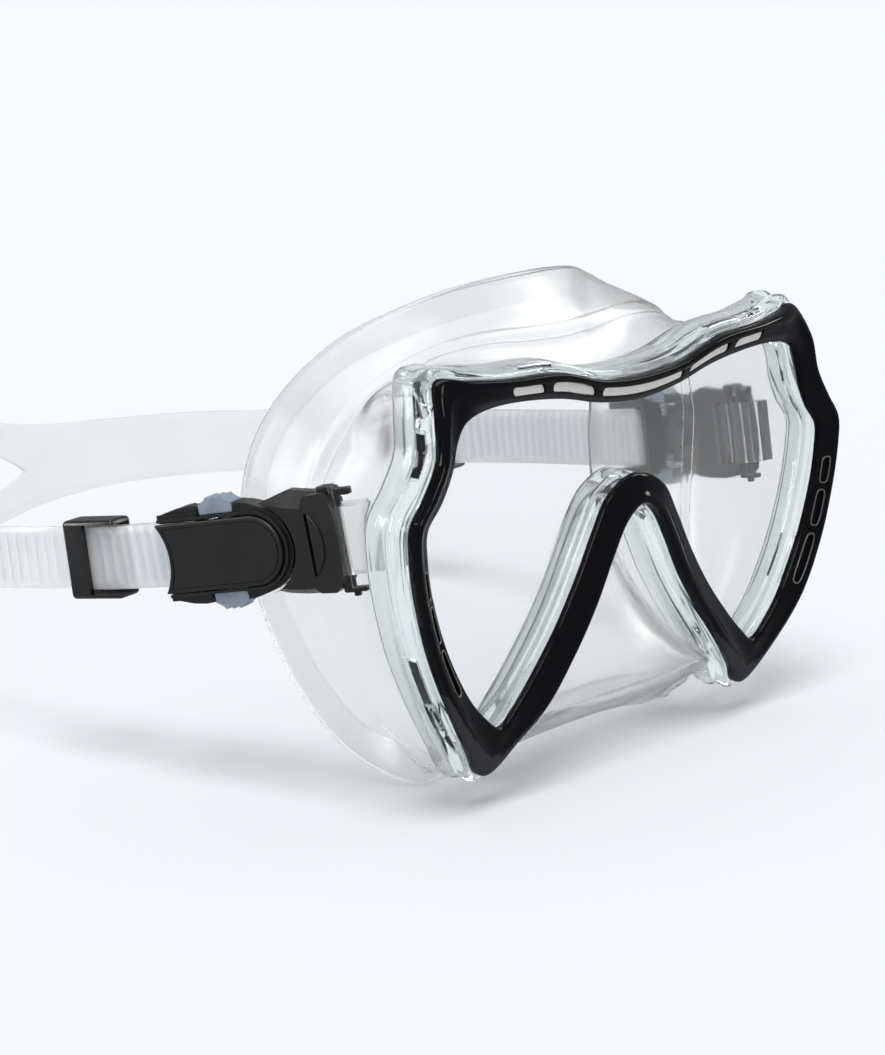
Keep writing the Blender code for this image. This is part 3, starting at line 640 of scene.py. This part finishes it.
def build_lens():
    rim = offset_loop(OPENING, OPENING_OUT, 1.6)
    inner = offset_loop(OPENING, OPENING_OUT, 1.35)
    rings = [[(x, y, z) for x, z in loop] for loop, y in
             ((inner, LENS_FRONT), (rim, LENS_FRONT + 0.25), (rim, LENS_BACK - 0.25), (inner, LENS_BACK))]
    lens = new_object("lens_pane", tube_solid(rings), LENS_GLASS, 30)
    place(lens, "mask", "lens_glass", "lens")


def build_frame():
    def edge(offset, y, sweep):
        return lift(offset_loop(EDGE, EDGE_OUT, offset), y, sweep)

    def opening(offset, y, sweep=0.0):
        return lift(offset_loop(OPENING, OPENING_OUT, offset), y, sweep)

    collar = [opening(0.2, 7.9), opening(0.2, 12.6), opening(0.45, 13.0), opening(1.7, 13.0),
              opening(2.0, 12.7), opening(2.0, 9.5, 0.3)]
    skirt_wall = [edge(-0.6, 9.5, 0.8), edge(-0.6, 14.2, 0.8), edge(-0.3, 14.5, 0.8),
                  edge(0.9, 14.5, 0.8), edge(1.35, 14.2, 0.8), edge(1.6, 13.6, 0.8)]
    rear_bead = [edge(1.7, 12.4, 0.83), edge(1.9, 11.9, 0.84), edge(2.2, 11.4, 0.85),
                 edge(2.2, 9.6, 0.87), edge(1.9, 9.0, 0.88), edge(1.6, 8.4, 0.89)]
    front_bead = [edge(1.6, 6.4, 0.91), edge(1.75, 5.9, 0.92), edge(1.9, 5.2, 0.94),
                  edge(1.9, 4.1, 0.98), edge(1.7, 3.5, 1.0), edge(1.25, 3.2, 1.0)]
    bezel_seat = [edge(0.6, 3.2, 1.0), edge(0.35, 3.4, 1.0), edge(0.35, 4.3, 1.0)]
    lens_seat = [lift(across(0.5), 4.3, 0.3), opening(1.95, 4.3), opening(1.95, 7.85)]
    rings = collar + skirt_wall + rear_bead + front_bead + bezel_seat + lens_seat
    ring = new_object("frame_ring", ring_solid(rings), CLEAR_PLASTIC)
    for first, last in HOOKS:
        window = rim_block(first, last, (0.65, 1.25), (5.0, 8.6))
        combine(ring, new_object("window", window, CLEAR_PLASTIC), 'DIFFERENCE')
    shade(ring, 35)
    place(ring, "mask", "frame_clear", "lens_frame")
    for i, (first, last) in enumerate(HOOKS):
        gap = (last - first) * 0.07
        hook = rim_block(first + gap, last - gap, (0.75, 1.1), (5.2, 7.8))
        hook = new_object(f"bezel_hook_{i + 1}", hook, GLOSS_BLACK)
        place(soften(hook, 0.15, 2), "mask", "bezel_black")


# ---------------- skirt
# Rows run from the frame's groove (0) over the neck, waist, step (4), flange and free edge to the lip (7)
ROW_PLACES = [0, 1, 1.12, 1.25, 1.45, 1.7, 2, 2.3, 2.6, 2.9, 3.15, 3.3, 3.38, 3.42, 3.46, 3.55, 3.7, 3.85,
              3.94, 3.97, 4.0, 4.06, 4.15, 4.35, 4.6, 4.9, 5.2, 5.5, 5.7, 5.82, 5.9, 5.96, 6.0, 6.04, 6.1,
              6.2, 6.4, 6.7, 7]
WALLS = [1.2, 1.2, 1.9, 1.9, 1.9, 1.9, 1.2, 0.7]  # thickness at whole places
STEP_HEIGHT, FINE_LINE = 0.4, 3.42


def nose_share(index):
    """1 in the nose pocket, 0 elsewhere."""
    return min(max((outline_place(index) - (NOSE_FROM - 1)) / 1.5, 0.0), 1.0)


def skirt_controls():
    """Eight loops of the skirt's outer face, from the frame's groove to the inner lip."""
    middle, edge_line = smooth_loop(SKIRT_MIDDLE), smooth_loop(SKIRT_EDGE_LINE)
    middle_out = outward([(p[0], p[2]) for p in middle])
    edge_out = outward([(p[0], p[2]) for p in edge_line])
    start_loop = offset_loop(EDGE, EDGE_OUT, -0.95)
    rows = [lift(start_loop, 9.9, 0.8), lift(start_loop, 15.4, 0.8)]
    neck, waist, step, flange, free, lip = [], [], [], [], [], []
    for i, (start, mid, end) in enumerate(zip(rows[1], middle, edge_line)):
        nose = nose_share(i)
        out = Vector((EDGE_OUT[i][0], 0, EDGE_OUT[i][1]))
        mid_out = Vector((middle_out[i][0], 0, middle_out[i][1]))
        end_out = Vector((edge_out[i][0], 0, edge_out[i][1]))
        start, mid, end = Vector(start), Vector(mid), Vector(end)
        behind_frame = start + out * 3.75 + Vector((0, 1.6, 0))
        neck.append((start.lerp(mid, 0.3) - out * 2.8).lerp(behind_frame, nose))
        waist.append((start.lerp(mid, 0.75) - mid_out * 1.8).lerp(neck[-1].lerp(mid, 0.5), nose))
        step.append(mid + mid_out * 1.5 * (1 - nose))
        flange.append(mid.lerp(end, 0.5) + mid_out * 1.0)
        free.append(end)
        lip.append(end - end_out * 8.0 - Vector((0, 1.0, 0)))
    return [[Vector(p) for p in row] for row in rows + [neck, waist, step, flange, free, lip]]


def open_spline(points, position):
    """Point on an open Catmull-Rom curve, straight at its ends."""
    last = len(points) - 1
    i = min(int(position), last - 1)
    t = position - i
    b, c = points[i], points[i + 1]
    a = points[i - 1] if i else b * 2 - c
    d = points[i + 2] if i + 2 <= last else c * 2 - b
    return catmull_rom(a, b, c, d, t)


def grid_normals(rows):
    """Normals of a surface given by rows of points, closed along each row."""
    result = []
    for j, row in enumerate(rows):
        before, after = rows[max(j - 1, 0)], rows[min(j + 1, len(rows) - 1)]
        result.append([(row[(i + 1) % len(row)] - row[i - 1]).cross(after[i] - before[i]).normalized()
                       for i in range(len(row))])
    return result


def build_skirt():
    controls = skirt_controls()
    columns = list(zip(*controls))
    rows = []
    for position in ROW_PLACES:
        if position <= 1:
            rows.append([c[0].lerp(c[1], position) for c in columns])
        else:
            rows.append([open_spline(c[1:], position - 1) for c in columns])
    normals = grid_normals(rows)
    outer, inner = [], []
    for position, row, row_normals in zip(ROW_PLACES, rows, normals):
        k = min(int(position), len(WALLS) - 2)
        wall = WALLS[k] + (WALLS[k + 1] - WALLS[k]) * (position - k)
        ridge = STEP_HEIGHT * (smoothstep(3.94, 4.0, position) * (1 - smoothstep(4.6, 5.6, position))
                               + 0.7 * max(0.0, 1 - abs(position - FINE_LINE) / 0.045))
        outer.append([p + n * ridge * (1 - nose_share(i)) for i, (p, n) in enumerate(zip(row, row_normals))])
        inner.append([p - n * wall for p, n in zip(row, row_normals)])
    skirt = new_object("skirt_shell", ring_solid(outer + inner[::-1]), SKIRT_SILICONE, 50)
    place(skirt, "mask", "skirt_silicone", "skirt")


def side_point(point, side):
    return Vector((point[0] * side, point[1], point[2]))


def buckle_point(s, v, w, side=1):
    return side_point(BUCKLE_PIVOT + REAR * s + UP * v + OUT * w, side)


def buckle_object(name, shape, side, mat, angle=35):
    """Object from points in a buckle's own directions: rearward, up and outward from its pivot."""
    verts, faces = shape
    return new_object(name, ([buckle_point(*p, side) for p in verts], faces), mat, angle)


def build_ear(name, side):
    """The skirt's loop round the yoke bar."""
    eye = arc(2.6, -75, 90, 20, (BAR_S, BAR_W))
    outline = eye + [(-25.5, -0.6), (-29.0, -1.4), (-29.4, -5.0), (-27.0, -6.6), (-24.5, -6.2)]
    ear = buckle_object(f"skirt_ear_{name}", turned(prism(outline, -7.6, 7.6)), side, SKIRT_SILICONE)
    hole = buckle_object("hole", lathe([(1.8, -9), (1.8, 9)], (BAR_S, BAR_W)), side, SKIRT_SILICONE)
    combine(ear, hole, 'DIFFERENCE')
    pad = buckle_object("pad", box((-27.6, -7.7, -8.2), (-15.8, 7.7, -5.4)), side, SKIRT_SILICONE)
    combine(ear, pad, 'UNION')
    place(soften(ear, 0.7, 4, 40), "mask", "skirt_silicone")


# ---------------- strap
def run_frame(place):
    """Point on the strap's run with its rearward, upward and outward directions."""
    i = int(place)
    t = place - i
    near = STRAP_RUN[i - 1:i + 3]
    ahead = Vector(smooth_at(near, 1 + min(t + 0.02, 0.999))[:3])
    behind = Vector(smooth_at(near, 1 + max(t - 0.02, 0.0))[:3])
    rear = (ahead - behind).normalized()
    out = Vector((rear.y, -rear.x, 0)).normalized()
    return Vector(smooth_at(near, 1 + t)[:3]), rear, out.cross(rear).normalized(), out


def strap_stations(tail_place):
    """Dense centre line of half the strap from its tail's end: (point, up, half height)."""
    tail = []
    eighths = [k / 8 for k in range(8, 8 * len(STRAP_RUN)) if k / 8 < tail_place]
    for place in [tail_place] + eighths[::-1]:
        point, rear, up, out = run_frame(place)
        tail.append((point + out * TAIL_OFFSET, up, STRAP_HALF))
    run = [Vector(p[:3]) for p in STRAP_RUN]
    wrap = ROLLER_RADIUS + 0.3 + STRAP_THICKNESS / 2
    first_loop = buckle_point(ROLLER_S, 0, ROLLER_W + wrap)
    stations = tail + [(tail[-1][0].lerp(first_loop, 0.5), UP, STRAP_HALF), (first_loop, UP, STRAP_HALF)]
    for s, w in arc(wrap, 90, 270, 24, (ROLLER_S, ROLLER_W))[1:]:
        stations.append((buckle_point(s, 0, w), UP, STRAP_HALF))
    steps = 10
    for i in range(len(run) - 1):
        for k in range(steps if i < len(run) - 2 else steps + 1):
            b = STRAP_RUN[i]
            d = STRAP_RUN[i + 2] if i + 2 < len(run) else (-b[0], *b[1:])
            near = [STRAP_RUN[max(i - 1, 0)], b, STRAP_RUN[i + 1], d]
            spot = smooth_at(near, 1 + min(k / steps, 0.9999))
            stations.append((Vector(spot[:3]), Vector((0, 0, 1)), spot[3]))
    return stations


def resample(stations):
    """Stations close together on the ribs and further apart behind: (point, up, half height, distance)."""
    lengths = [0.0]
    for a, b in zip(stations, stations[1:]):
        lengths.append(lengths[-1] + (b[0] - a[0]).length)
    total, result, i, at = lengths[-1], [], 0, 0.0
    while at < total:
        while i < len(stations) - 2 and lengths[i + 1] < at:
            i += 1
        t = (at - lengths[i]) / max(lengths[i + 1] - lengths[i], 1e-9)
        (point, up, half), (next_point, next_up, next_half) = stations[i], stations[i + 1]
        result.append((point.lerp(next_point, t), up.lerp(next_up, t), half + (next_half - half) * t, at))
        at += RIB_PITCH / 8 if point.y < RIBBED_TO else 0.9
    return result + [(*stations[-1], total)]


def rib_height(distance):
    """Square-topped ribs across the band."""
    wave = 0.5 + 0.5 * math.cos(2 * math.pi * distance / RIB_PITCH)
    return RIB_HEIGHT * smoothstep(0.3, 0.7, wave)


def chevron_height(x, z):
    """Fine raised chevrons on the pad at the back of the head."""
    pitch, half_width = 4.0, 0.45
    along = abs(x) - 26 - 0.55 * abs(z)
    lines = max(0.0, 1 - abs(along % pitch - pitch / 2) / half_width)
    return 0.22 * lines * smoothstep(0, 1.5, along) * (1 - smoothstep(10, 12, along))


def strap_section(along, point, up, height, distance):
    """Section of the band, and how far each of its points lies in a groove between ribs (0 to 1), which the
    material darkens as painted shade.
    """
    up = (up - along * along.dot(up)).normalized()
    through = along.cross(up).normalized()
    thick = STRAP_THICKNESS / 2
    reach = smoothstep(3.4, 4.2, distance) * (1 - smoothstep(RIBBED_TO - 4, RIBBED_TO, point.y))
    ribs = rib_height(distance) * reach
    outer, inner, groove_shade = [], [], []
    for column in range(STRAP_COLUMNS):
        u = -1 + 2 * column / (STRAP_COLUMNS - 1)
        v = height * u * (1.0 - 0.02 * u * u) if abs(u) < 0.999 else height * u
        rim = smoothstep(height, height - 0.7, abs(v))
        flat = smoothstep(height - 0.9, height - 1.5, abs(v))
        pad = chevron_height(point.x, v) * flat if point.y > PAD_FROM else 0.0
        outer.append(point + up * v + through * (thick * (0.35 + 0.65 * rim) + pad))
        inner.append(point + up * v - through * (thick * (0.35 + 0.65 * rim) + ribs * flat))
        groove_shade.append(flat * (reach - ribs / RIB_HEIGHT))
    return outer + inner[::-1], [0.0] * STRAP_COLUMNS + groove_shade[::-1]


def build_strap():
    """Band with ribs; the mesh tells the material where the grooves between them are, for painted shade in
    them.
    """
    right = resample(strap_stations(TAIL_PLACE[-1]))
    samples = resample(strap_stations(TAIL_PLACE[1]))
    samples += [(side_point(p, -1), side_point(up, -1), h, d) for p, up, h, d in right[-2::-1]]
    rings, grooves = [], []
    for i, sample in enumerate(samples):
        along = (samples[min(i + 1, len(samples) - 1)][0] - samples[max(i - 1, 0)][0]).normalized()
        ring, groove_shade = strap_section(along, *sample)
        rings.append(ring)
        grooves += groove_shade
    strap = new_object("strap_band", tube_solid(rings), STRAP_SILICONE, 50)
    strap.data.attributes.new("groove", 'FLOAT', 'POINT').data.foreach_set("value", grooves)
    tip, half_gap, middle, steps = 38.0, 12.0, -39.4, 48
    upper = [(tip * math.cos(math.pi * i / steps), middle + half_gap * math.sin(math.pi * i / steps) ** 1.5)
             for i in range(steps + 1)]
    lower = [(x, 2 * middle - z) for x, z in upper[-2:0:-1]]
    split = new_object("strap_split", turned(prism(upper + lower, 240, 285)), STRAP_SILICONE)
    combine(strap, split, 'DIFFERENCE')
    shade(strap, 50)
    place(strap, "strap_assembly", "strap_silicone", "strap")


def build_keeper(name, side):
    """Loop round strap and tail, open at the front of its outer side."""
    centre, rear, up, out = run_frame(KEEPER_PLACE[side])

    def placed(shape, label):
        verts, faces = shape
        return new_object(label, ([side_point(centre + rear * a + up * b + out * c, side)
                                   for a, b, c in verts], faces), KEEPER_BLACK)

    length, height, inner, outer = 7.5, 9.2, -2.6, 4.7
    keeper = placed(box((-length, -height, inner), (length, height, outer)), f"keeper_loop_{name}")
    soften(keeper, 1.1, 4)
    hollow = [(-20, -1.4), (20, -1.4), (20, 3.45), (1.5, 3.45), (1.5, 9), (-20, 9)]
    combine(keeper, placed(turned(prism(hollow, -8.1, 8.1)), "hollow"), 'DIFFERENCE')
    shade(keeper, 30)
    place(keeper, f"keeper_{name}", "buckle_black", f"strap_keeper_{name}")


# ---------------- buckles
PIN_HOLE = arc(2.4, 0, 350, 35)


def rounded_end(radius, rear):
    """Outline round the swivel pin in front and square behind."""
    return arc(radius, 90, 270, 48) + [(rear, -radius), (rear, radius)]


def black_part(shape, side, name="part"):
    return buckle_object(name, shape, side, MATTE_BLACK)


def build_yoke(name, side):
    """Shell that holds the swivel pin, its raised panel, and the bar with its knobs and blocks."""
    recess = arc(10.6, 106, 254, 40)
    outline = recess + [(-5.6, -10.9), (-10, -11.4), (-16, -11.6), (-19.8, -11), (-21.6, -9),
                        (-22.4, 0), (-21.6, 9), (-18.9, 10.9), (-13.5, 11.6), (-9.5, 12.2)]
    slope = recess + [(s, v - 3.6 * smoothstep(7.5, 11.5, v) + 1.6 * smoothstep(-8, -11, v))
                      for s, v in outline[len(recess):]]
    yoke = black_part(tube_solid([[(s, v, -6.5) for s, v in outline], [(s, v, -3.9) for s, v in outline],
                                  [(s, v, -1.0) for s, v in slope]]), side, f"yoke_shell_{name}")
    panel = [(-15.9, 10.9), (-14.9, 10.2), (-14.3, 8.6), (-14.0, 0), (-14.3, -8.6), (-14.9, -10.2),
             (-15.9, -10.9), (-19.6, -11.1), (-21.3, -9.9), (-22.2, -6), (-22.6, 0), (-22.2, 6),
             (-21.3, 9.9), (-19.6, 11.1)]
    combine(yoke, black_part(prism(panel, -4.5, 0.1), side), 'UNION')
    tongue = arc(6.0, -90, 90, 24) + [(-12.5, 6.0), (-12.5, -6.0)]
    combine(yoke, black_part(prism(tongue, -6.5, -4.9), side), 'UNION')
    ear_room = box((-25, -8, -9), (-18, 8, -1.0))
    pad_room = box((-18.5, -8, -9), (-15.5, 8, -5.1))
    bar_hole = lathe([(1.85, -14), (1.85, 14)], (BAR_S, BAR_W))
    slit = prism([(-15.8, -6.9), (-15.0, -7.1), (-14.9, 7.1), (-15.7, 6.9)], -1.4, 1)
    for cut in (ear_room, pad_room, prism(PIN_HOLE, -9, 1), bar_hole, slit):
        combine(yoke, black_part(cut, side), 'DIFFERENCE')
    place(soften(yoke, 0.32, 3, 32), "mask", "buckle_black", f"yoke_{name}")
    moon = black_part(prism(arc(9.5, 133, 227, 24, (-9.3, 0.0)), -0.5, 0.5), side, f"yoke_panel_{name}")
    place(soften(moon, 0.35, 4), "mask", "buckle_black")
    rod = [(1.3, -11.8), (1.5, -11.5), (1.5, 11.7), (1.3, 12.0)]
    bar = buckle_object(f"yoke_bar_knob_{name}", lathe(rod, (BAR_S, BAR_W)), side, MATTE_BLACK, 40)
    blocks = [((-20.8, 10.5, -5.8), (-17.6, 12.3, -2.4)), ((-25.4, 9.8, -4.9), (-19.6, 11.5, -2.8)),
              ((-25.6, -11.9, -4.9), (-20.2, -10.7, -2.8)), ((-23.4, -12.9, -4.6), (-21.8, -11.5, -3.3))]
    for low, high in blocks:
        combine(bar, soften(black_part(box(low, high), side), 0.4, 3), 'UNION')
    shade(bar, 40)
    place(bar, "mask", "buckle_black", f"yoke_bar_{name}")


def build_body(name, side):
    """Plate with a rim round the cover, side walls, bays for the buttons, and holes for pin and roller."""
    body = black_part(prism(rounded_end(BODY_RADIUS - 0.2, 10.4), -4.0, -1.75), side, f"buckle_shell_{name}")
    rim = black_part(prism(rounded_end(BODY_RADIUS, BODY_LENGTH), -1.9, -1.35), side)
    combine(rim, black_part(prism(rounded_end(9.0, BODY_LENGTH - 0.2), -1.9, -0.55), side), 'UNION')
    combine(rim, black_part(prism(rounded_end(COVER_HALF + 0.35, 30), -3, 1), side), 'DIFFERENCE')
    combine(body, rim, 'UNION')
    fairing = [(13.0, 7.8), (13.0, 11.0), (15.5, 11.2), (18.9, 10.9), (22.2, 10.1), (23.7, 8.9), (23.85, 7.8)]
    nose = [(-4.5, 8.6), (-1.5, 9.9), (1.5, 10.7), (4.3, 11.1), (4.3, 8.6)]
    for v in (1, -1):
        for outline in (fairing, nose):
            combine(body, black_part(prism([(s, v * h) for s, h in outline], -7.2, -2.0), side), 'UNION')
    walls = [((9.6, -9.75, -10.1), (11.2, 9.75, -1.85)), ((9.7, 7.9, -10.2), (23.9, 9.82, -1.8)),
             ((9.7, -9.82, -10.2), (23.9, -7.9, -1.8)), ((5.2, 3.6, -6.4), (8.0, 4.6, -3.9)),
             ((5.2, -4.6, -6.4), (8.0, -3.6, -3.9))]
    for low, high in walls:
        combine(body, black_part(box(low, high), side), 'UNION')
    bay = [(13, -7.1), (13, 1.0), (8.85, 1.0), (8.85, -1.7), (7.3, -1.7), (7.3, -7.1)]
    for v in (1, -1):
        verts, faces = prism([(v * a, w) for a, w in bay], 3.9, 13.3)
        combine(body, black_part(([(s, a, w) for a, w, s in verts], faces), side), 'DIFFERENCE')
    combine(body, black_part(prism(PIN_HOLE, -9, 1), side), 'DIFFERENCE')
    combine(body, black_part(lathe([(1.3, -14), (1.3, 14)], (ROLLER_S, ROLLER_W)), side), 'DIFFERENCE')
    place(soften(body, 0.25, 2, 35), "strap_assembly", "buckle_black", f"buckle_body_{name}")


def cover_outline(inset):
    """The cover's edge, round in front and hollowed behind."""
    hollow = 14.0
    half, radius = COVER_HALF - inset, hollow + inset
    lean = math.degrees(math.asin(half / radius))
    centre = COVER_REAR + hollow
    rear = [(2 * centre - s, v) for s, v in arc(radius, -lean, lean, 24, (centre, 0))]
    return arc(half, 90, 270, 48) + rear


def build_cover(name, side):
    """Plain plate with a fine groove near its edge."""
    cover = black_part(prism(cover_outline(0), -1.3, 0.1), side, f"cover_plate_{name}")
    soften(cover, 0.4, 3)
    groove = black_part(prism(cover_outline(0.95), -0.12, 2), side)
    combine(groove, black_part(prism(cover_outline(1.2), -1, 3), side), 'DIFFERENCE')
    combine(cover, groove, 'DIFFERENCE')
    shade(cover, 30)
    place(cover, "strap_assembly", "buckle_black", f"buckle_cover_{name}")


def button_outline():
    """Side view of an upper button: a low dome with finger waves."""
    front, rear, foot, steps, wave = 4.2, 13.0, 8.95, 60, 1.9
    middle = (front + rear) / 2
    top = []
    for i in range(steps + 1):
        s = front + (rear - front) * i / steps
        end = min(i, steps - i) / steps
        rise = 11.3 + 1.35 * smoothstep(0.0, 0.3, end)
        waves = 0.2 * math.cos(2 * math.pi * (s - middle) / wave) * smoothstep(0.1, 0.25, end)
        top.append((s, rise + waves))
    return [(front, foot)] + top + [(rear, foot)]


def build_buttons(name, side):
    cap = button_outline()
    for label, v in (("upper", 1), ("lower", -1)):
        button = buckle_object(f"button_cap_{label}_{name}", prism([(s, v * h) for s, h in cap], -6.8, -1.85),
                               side, BUTTON_GREY)
        place(soften(button, 0.55, 4, 50), f"{label}_button_{name}", "button_grey", f"button_{label}_{name}")


def finish_nodes():
    """Materials for the small CAD nodes that stay."""
    for name in ("left", "right"):
        for node in (f"button_spring_upper_{name}", f"button_spring_lower_{name}"):
            frame["nodes"][node].data.materials[0] = STEEL
        for node in (f"swivel_pin_{name}", f"strap_roller_{name}", f"strap_pawl_{name}"):
            frame["nodes"][node].data.materials[0] = MATTE_BLACK


# ---------------- floor, light and camera
def build_stage():
    """Plain pale floor, a little below the mask so that the two never share a plane; darker in mirror
    reflections, a painted shade in what the black parts reflect.
    """
    mat, tree, shader = new_material("studio_floor", (0.80, 0.82, 0.85), 0.9, Specular_IOR_Level=0.0)
    # Painted shade in reflections: the floor shows darker to rays that a surface mirrors.
    tree.links.new(tint(tree, mirrored_ray(tree), (0.80, 0.815, 0.84), (0.35, 0.36, 0.37)),
                   shader.inputs["Base Color"])
    mesh = bpy.data.meshes.new("floor")
    reach = 12.0
    mesh.from_pydata([(-reach, -reach, 0), (reach, -reach, 0), (reach, reach, 0), (-reach, reach, 0)], [],
                     [(0, 1, 2, 3)])
    mesh.materials.append(mat)
    floor = bpy.data.objects.new("floor", mesh)
    floor.location = (0, 0, -0.0003)
    bpy.context.scene.collection.objects.link(floor)


def aimed_lamp(name, light, place_at, aim):
    obj = bpy.data.objects.new(name, light)
    obj.location = place_at
    obj.rotation_euler = (Vector(aim) - Vector(place_at)).to_track_quat('-Z', 'Y').to_euler()
    bpy.context.scene.collection.objects.link(obj)
    return obj


def softbox(name, place_at, aim, size, power):
    """Panel that only shows as a highlight, so that the floor stays evenly lit."""
    light = bpy.data.lights.new(name, 'AREA')
    light.shape = 'RECTANGLE'
    light.size, light.size_y = size
    light.energy = power
    obj = aimed_lamp(name, light, place_at, aim)
    obj.visible_diffuse = False


def build_light():
    """Pale even sky, one soft sun for the shadow, and panels for highlights."""
    world = bpy.data.worlds.new("studio")
    bpy.context.scene.world = world
    world.use_nodes = True
    tree = world.node_tree
    back = tree.nodes["Background"]
    tree.links.new(tint(tree, mirrored_ray(tree), (0.965, 0.985, 1.0), (0.42, 0.43, 0.44)),
                   back.inputs["Color"])
    back.inputs["Strength"].default_value = 0.69
    middle = Vector((0, -0.08, 0.05))
    key = bpy.data.lights.new("key", 'SUN')
    key.energy = 1.75
    key.angle = math.radians(28)
    aimed_lamp("key", key, middle + Vector((-0.32, -0.3, 1.0)), middle)
    softbox("front_left_panel", (-0.9, -0.5, 0.9), middle, (0.35, 0.35), 7)
    softbox("top_strip", (0.1, 0.45, 1.1), middle, (1.2, 0.2), 3.5)
    softbox("rear_strip", (-0.9, 0.75, 0.45), middle, (0.15, 0.7), 7)
    softbox("far_strip", (0.9, -0.5, 0.7), middle, (0.2, 0.8), 7)


def build_camera():
    """Camera where the photograph was taken from."""
    azimuth, elevation, roll = math.radians(-49.0), math.radians(14.095), math.radians(0.265)
    back = Vector((math.sin(azimuth) * math.cos(elevation), -math.cos(azimuth) * math.cos(elevation),
                   math.sin(elevation)))
    level = Vector((math.cos(azimuth), math.sin(azimuth), 0))
    right = level * math.cos(roll) + back.cross(level) * math.sin(roll)
    turn = Matrix((right, back.cross(right), back)).transposed().to_4x4()
    camera = bpy.data.cameras.new("camera")
    camera.lens = 106.4
    obj = bpy.data.objects.new("camera", camera)
    spot = (Vector((-558.5, -423.3, 169.7)) - ORIGIN) * MM
    obj.matrix_world = Matrix.Translation(spot) @ turn
    bpy.context.scene.collection.objects.link(obj)
    bpy.context.scene.camera = obj


build_camera()
build_light()
build_stage()
build_bezel()
build_lens()
build_frame()
build_skirt()
for side_name, side_sign in SIDES:
    build_ear(side_name, side_sign)
build_strap()
for side_name, side_sign in SIDES:
    build_keeper(side_name, side_sign)
    build_yoke(side_name, side_sign)
    build_body(side_name, side_sign)
    build_cover(side_name, side_sign)
    build_buttons(side_name, side_sign)
finish_nodes()
bpy.context.scene.view_settings.view_transform = 'Standard'
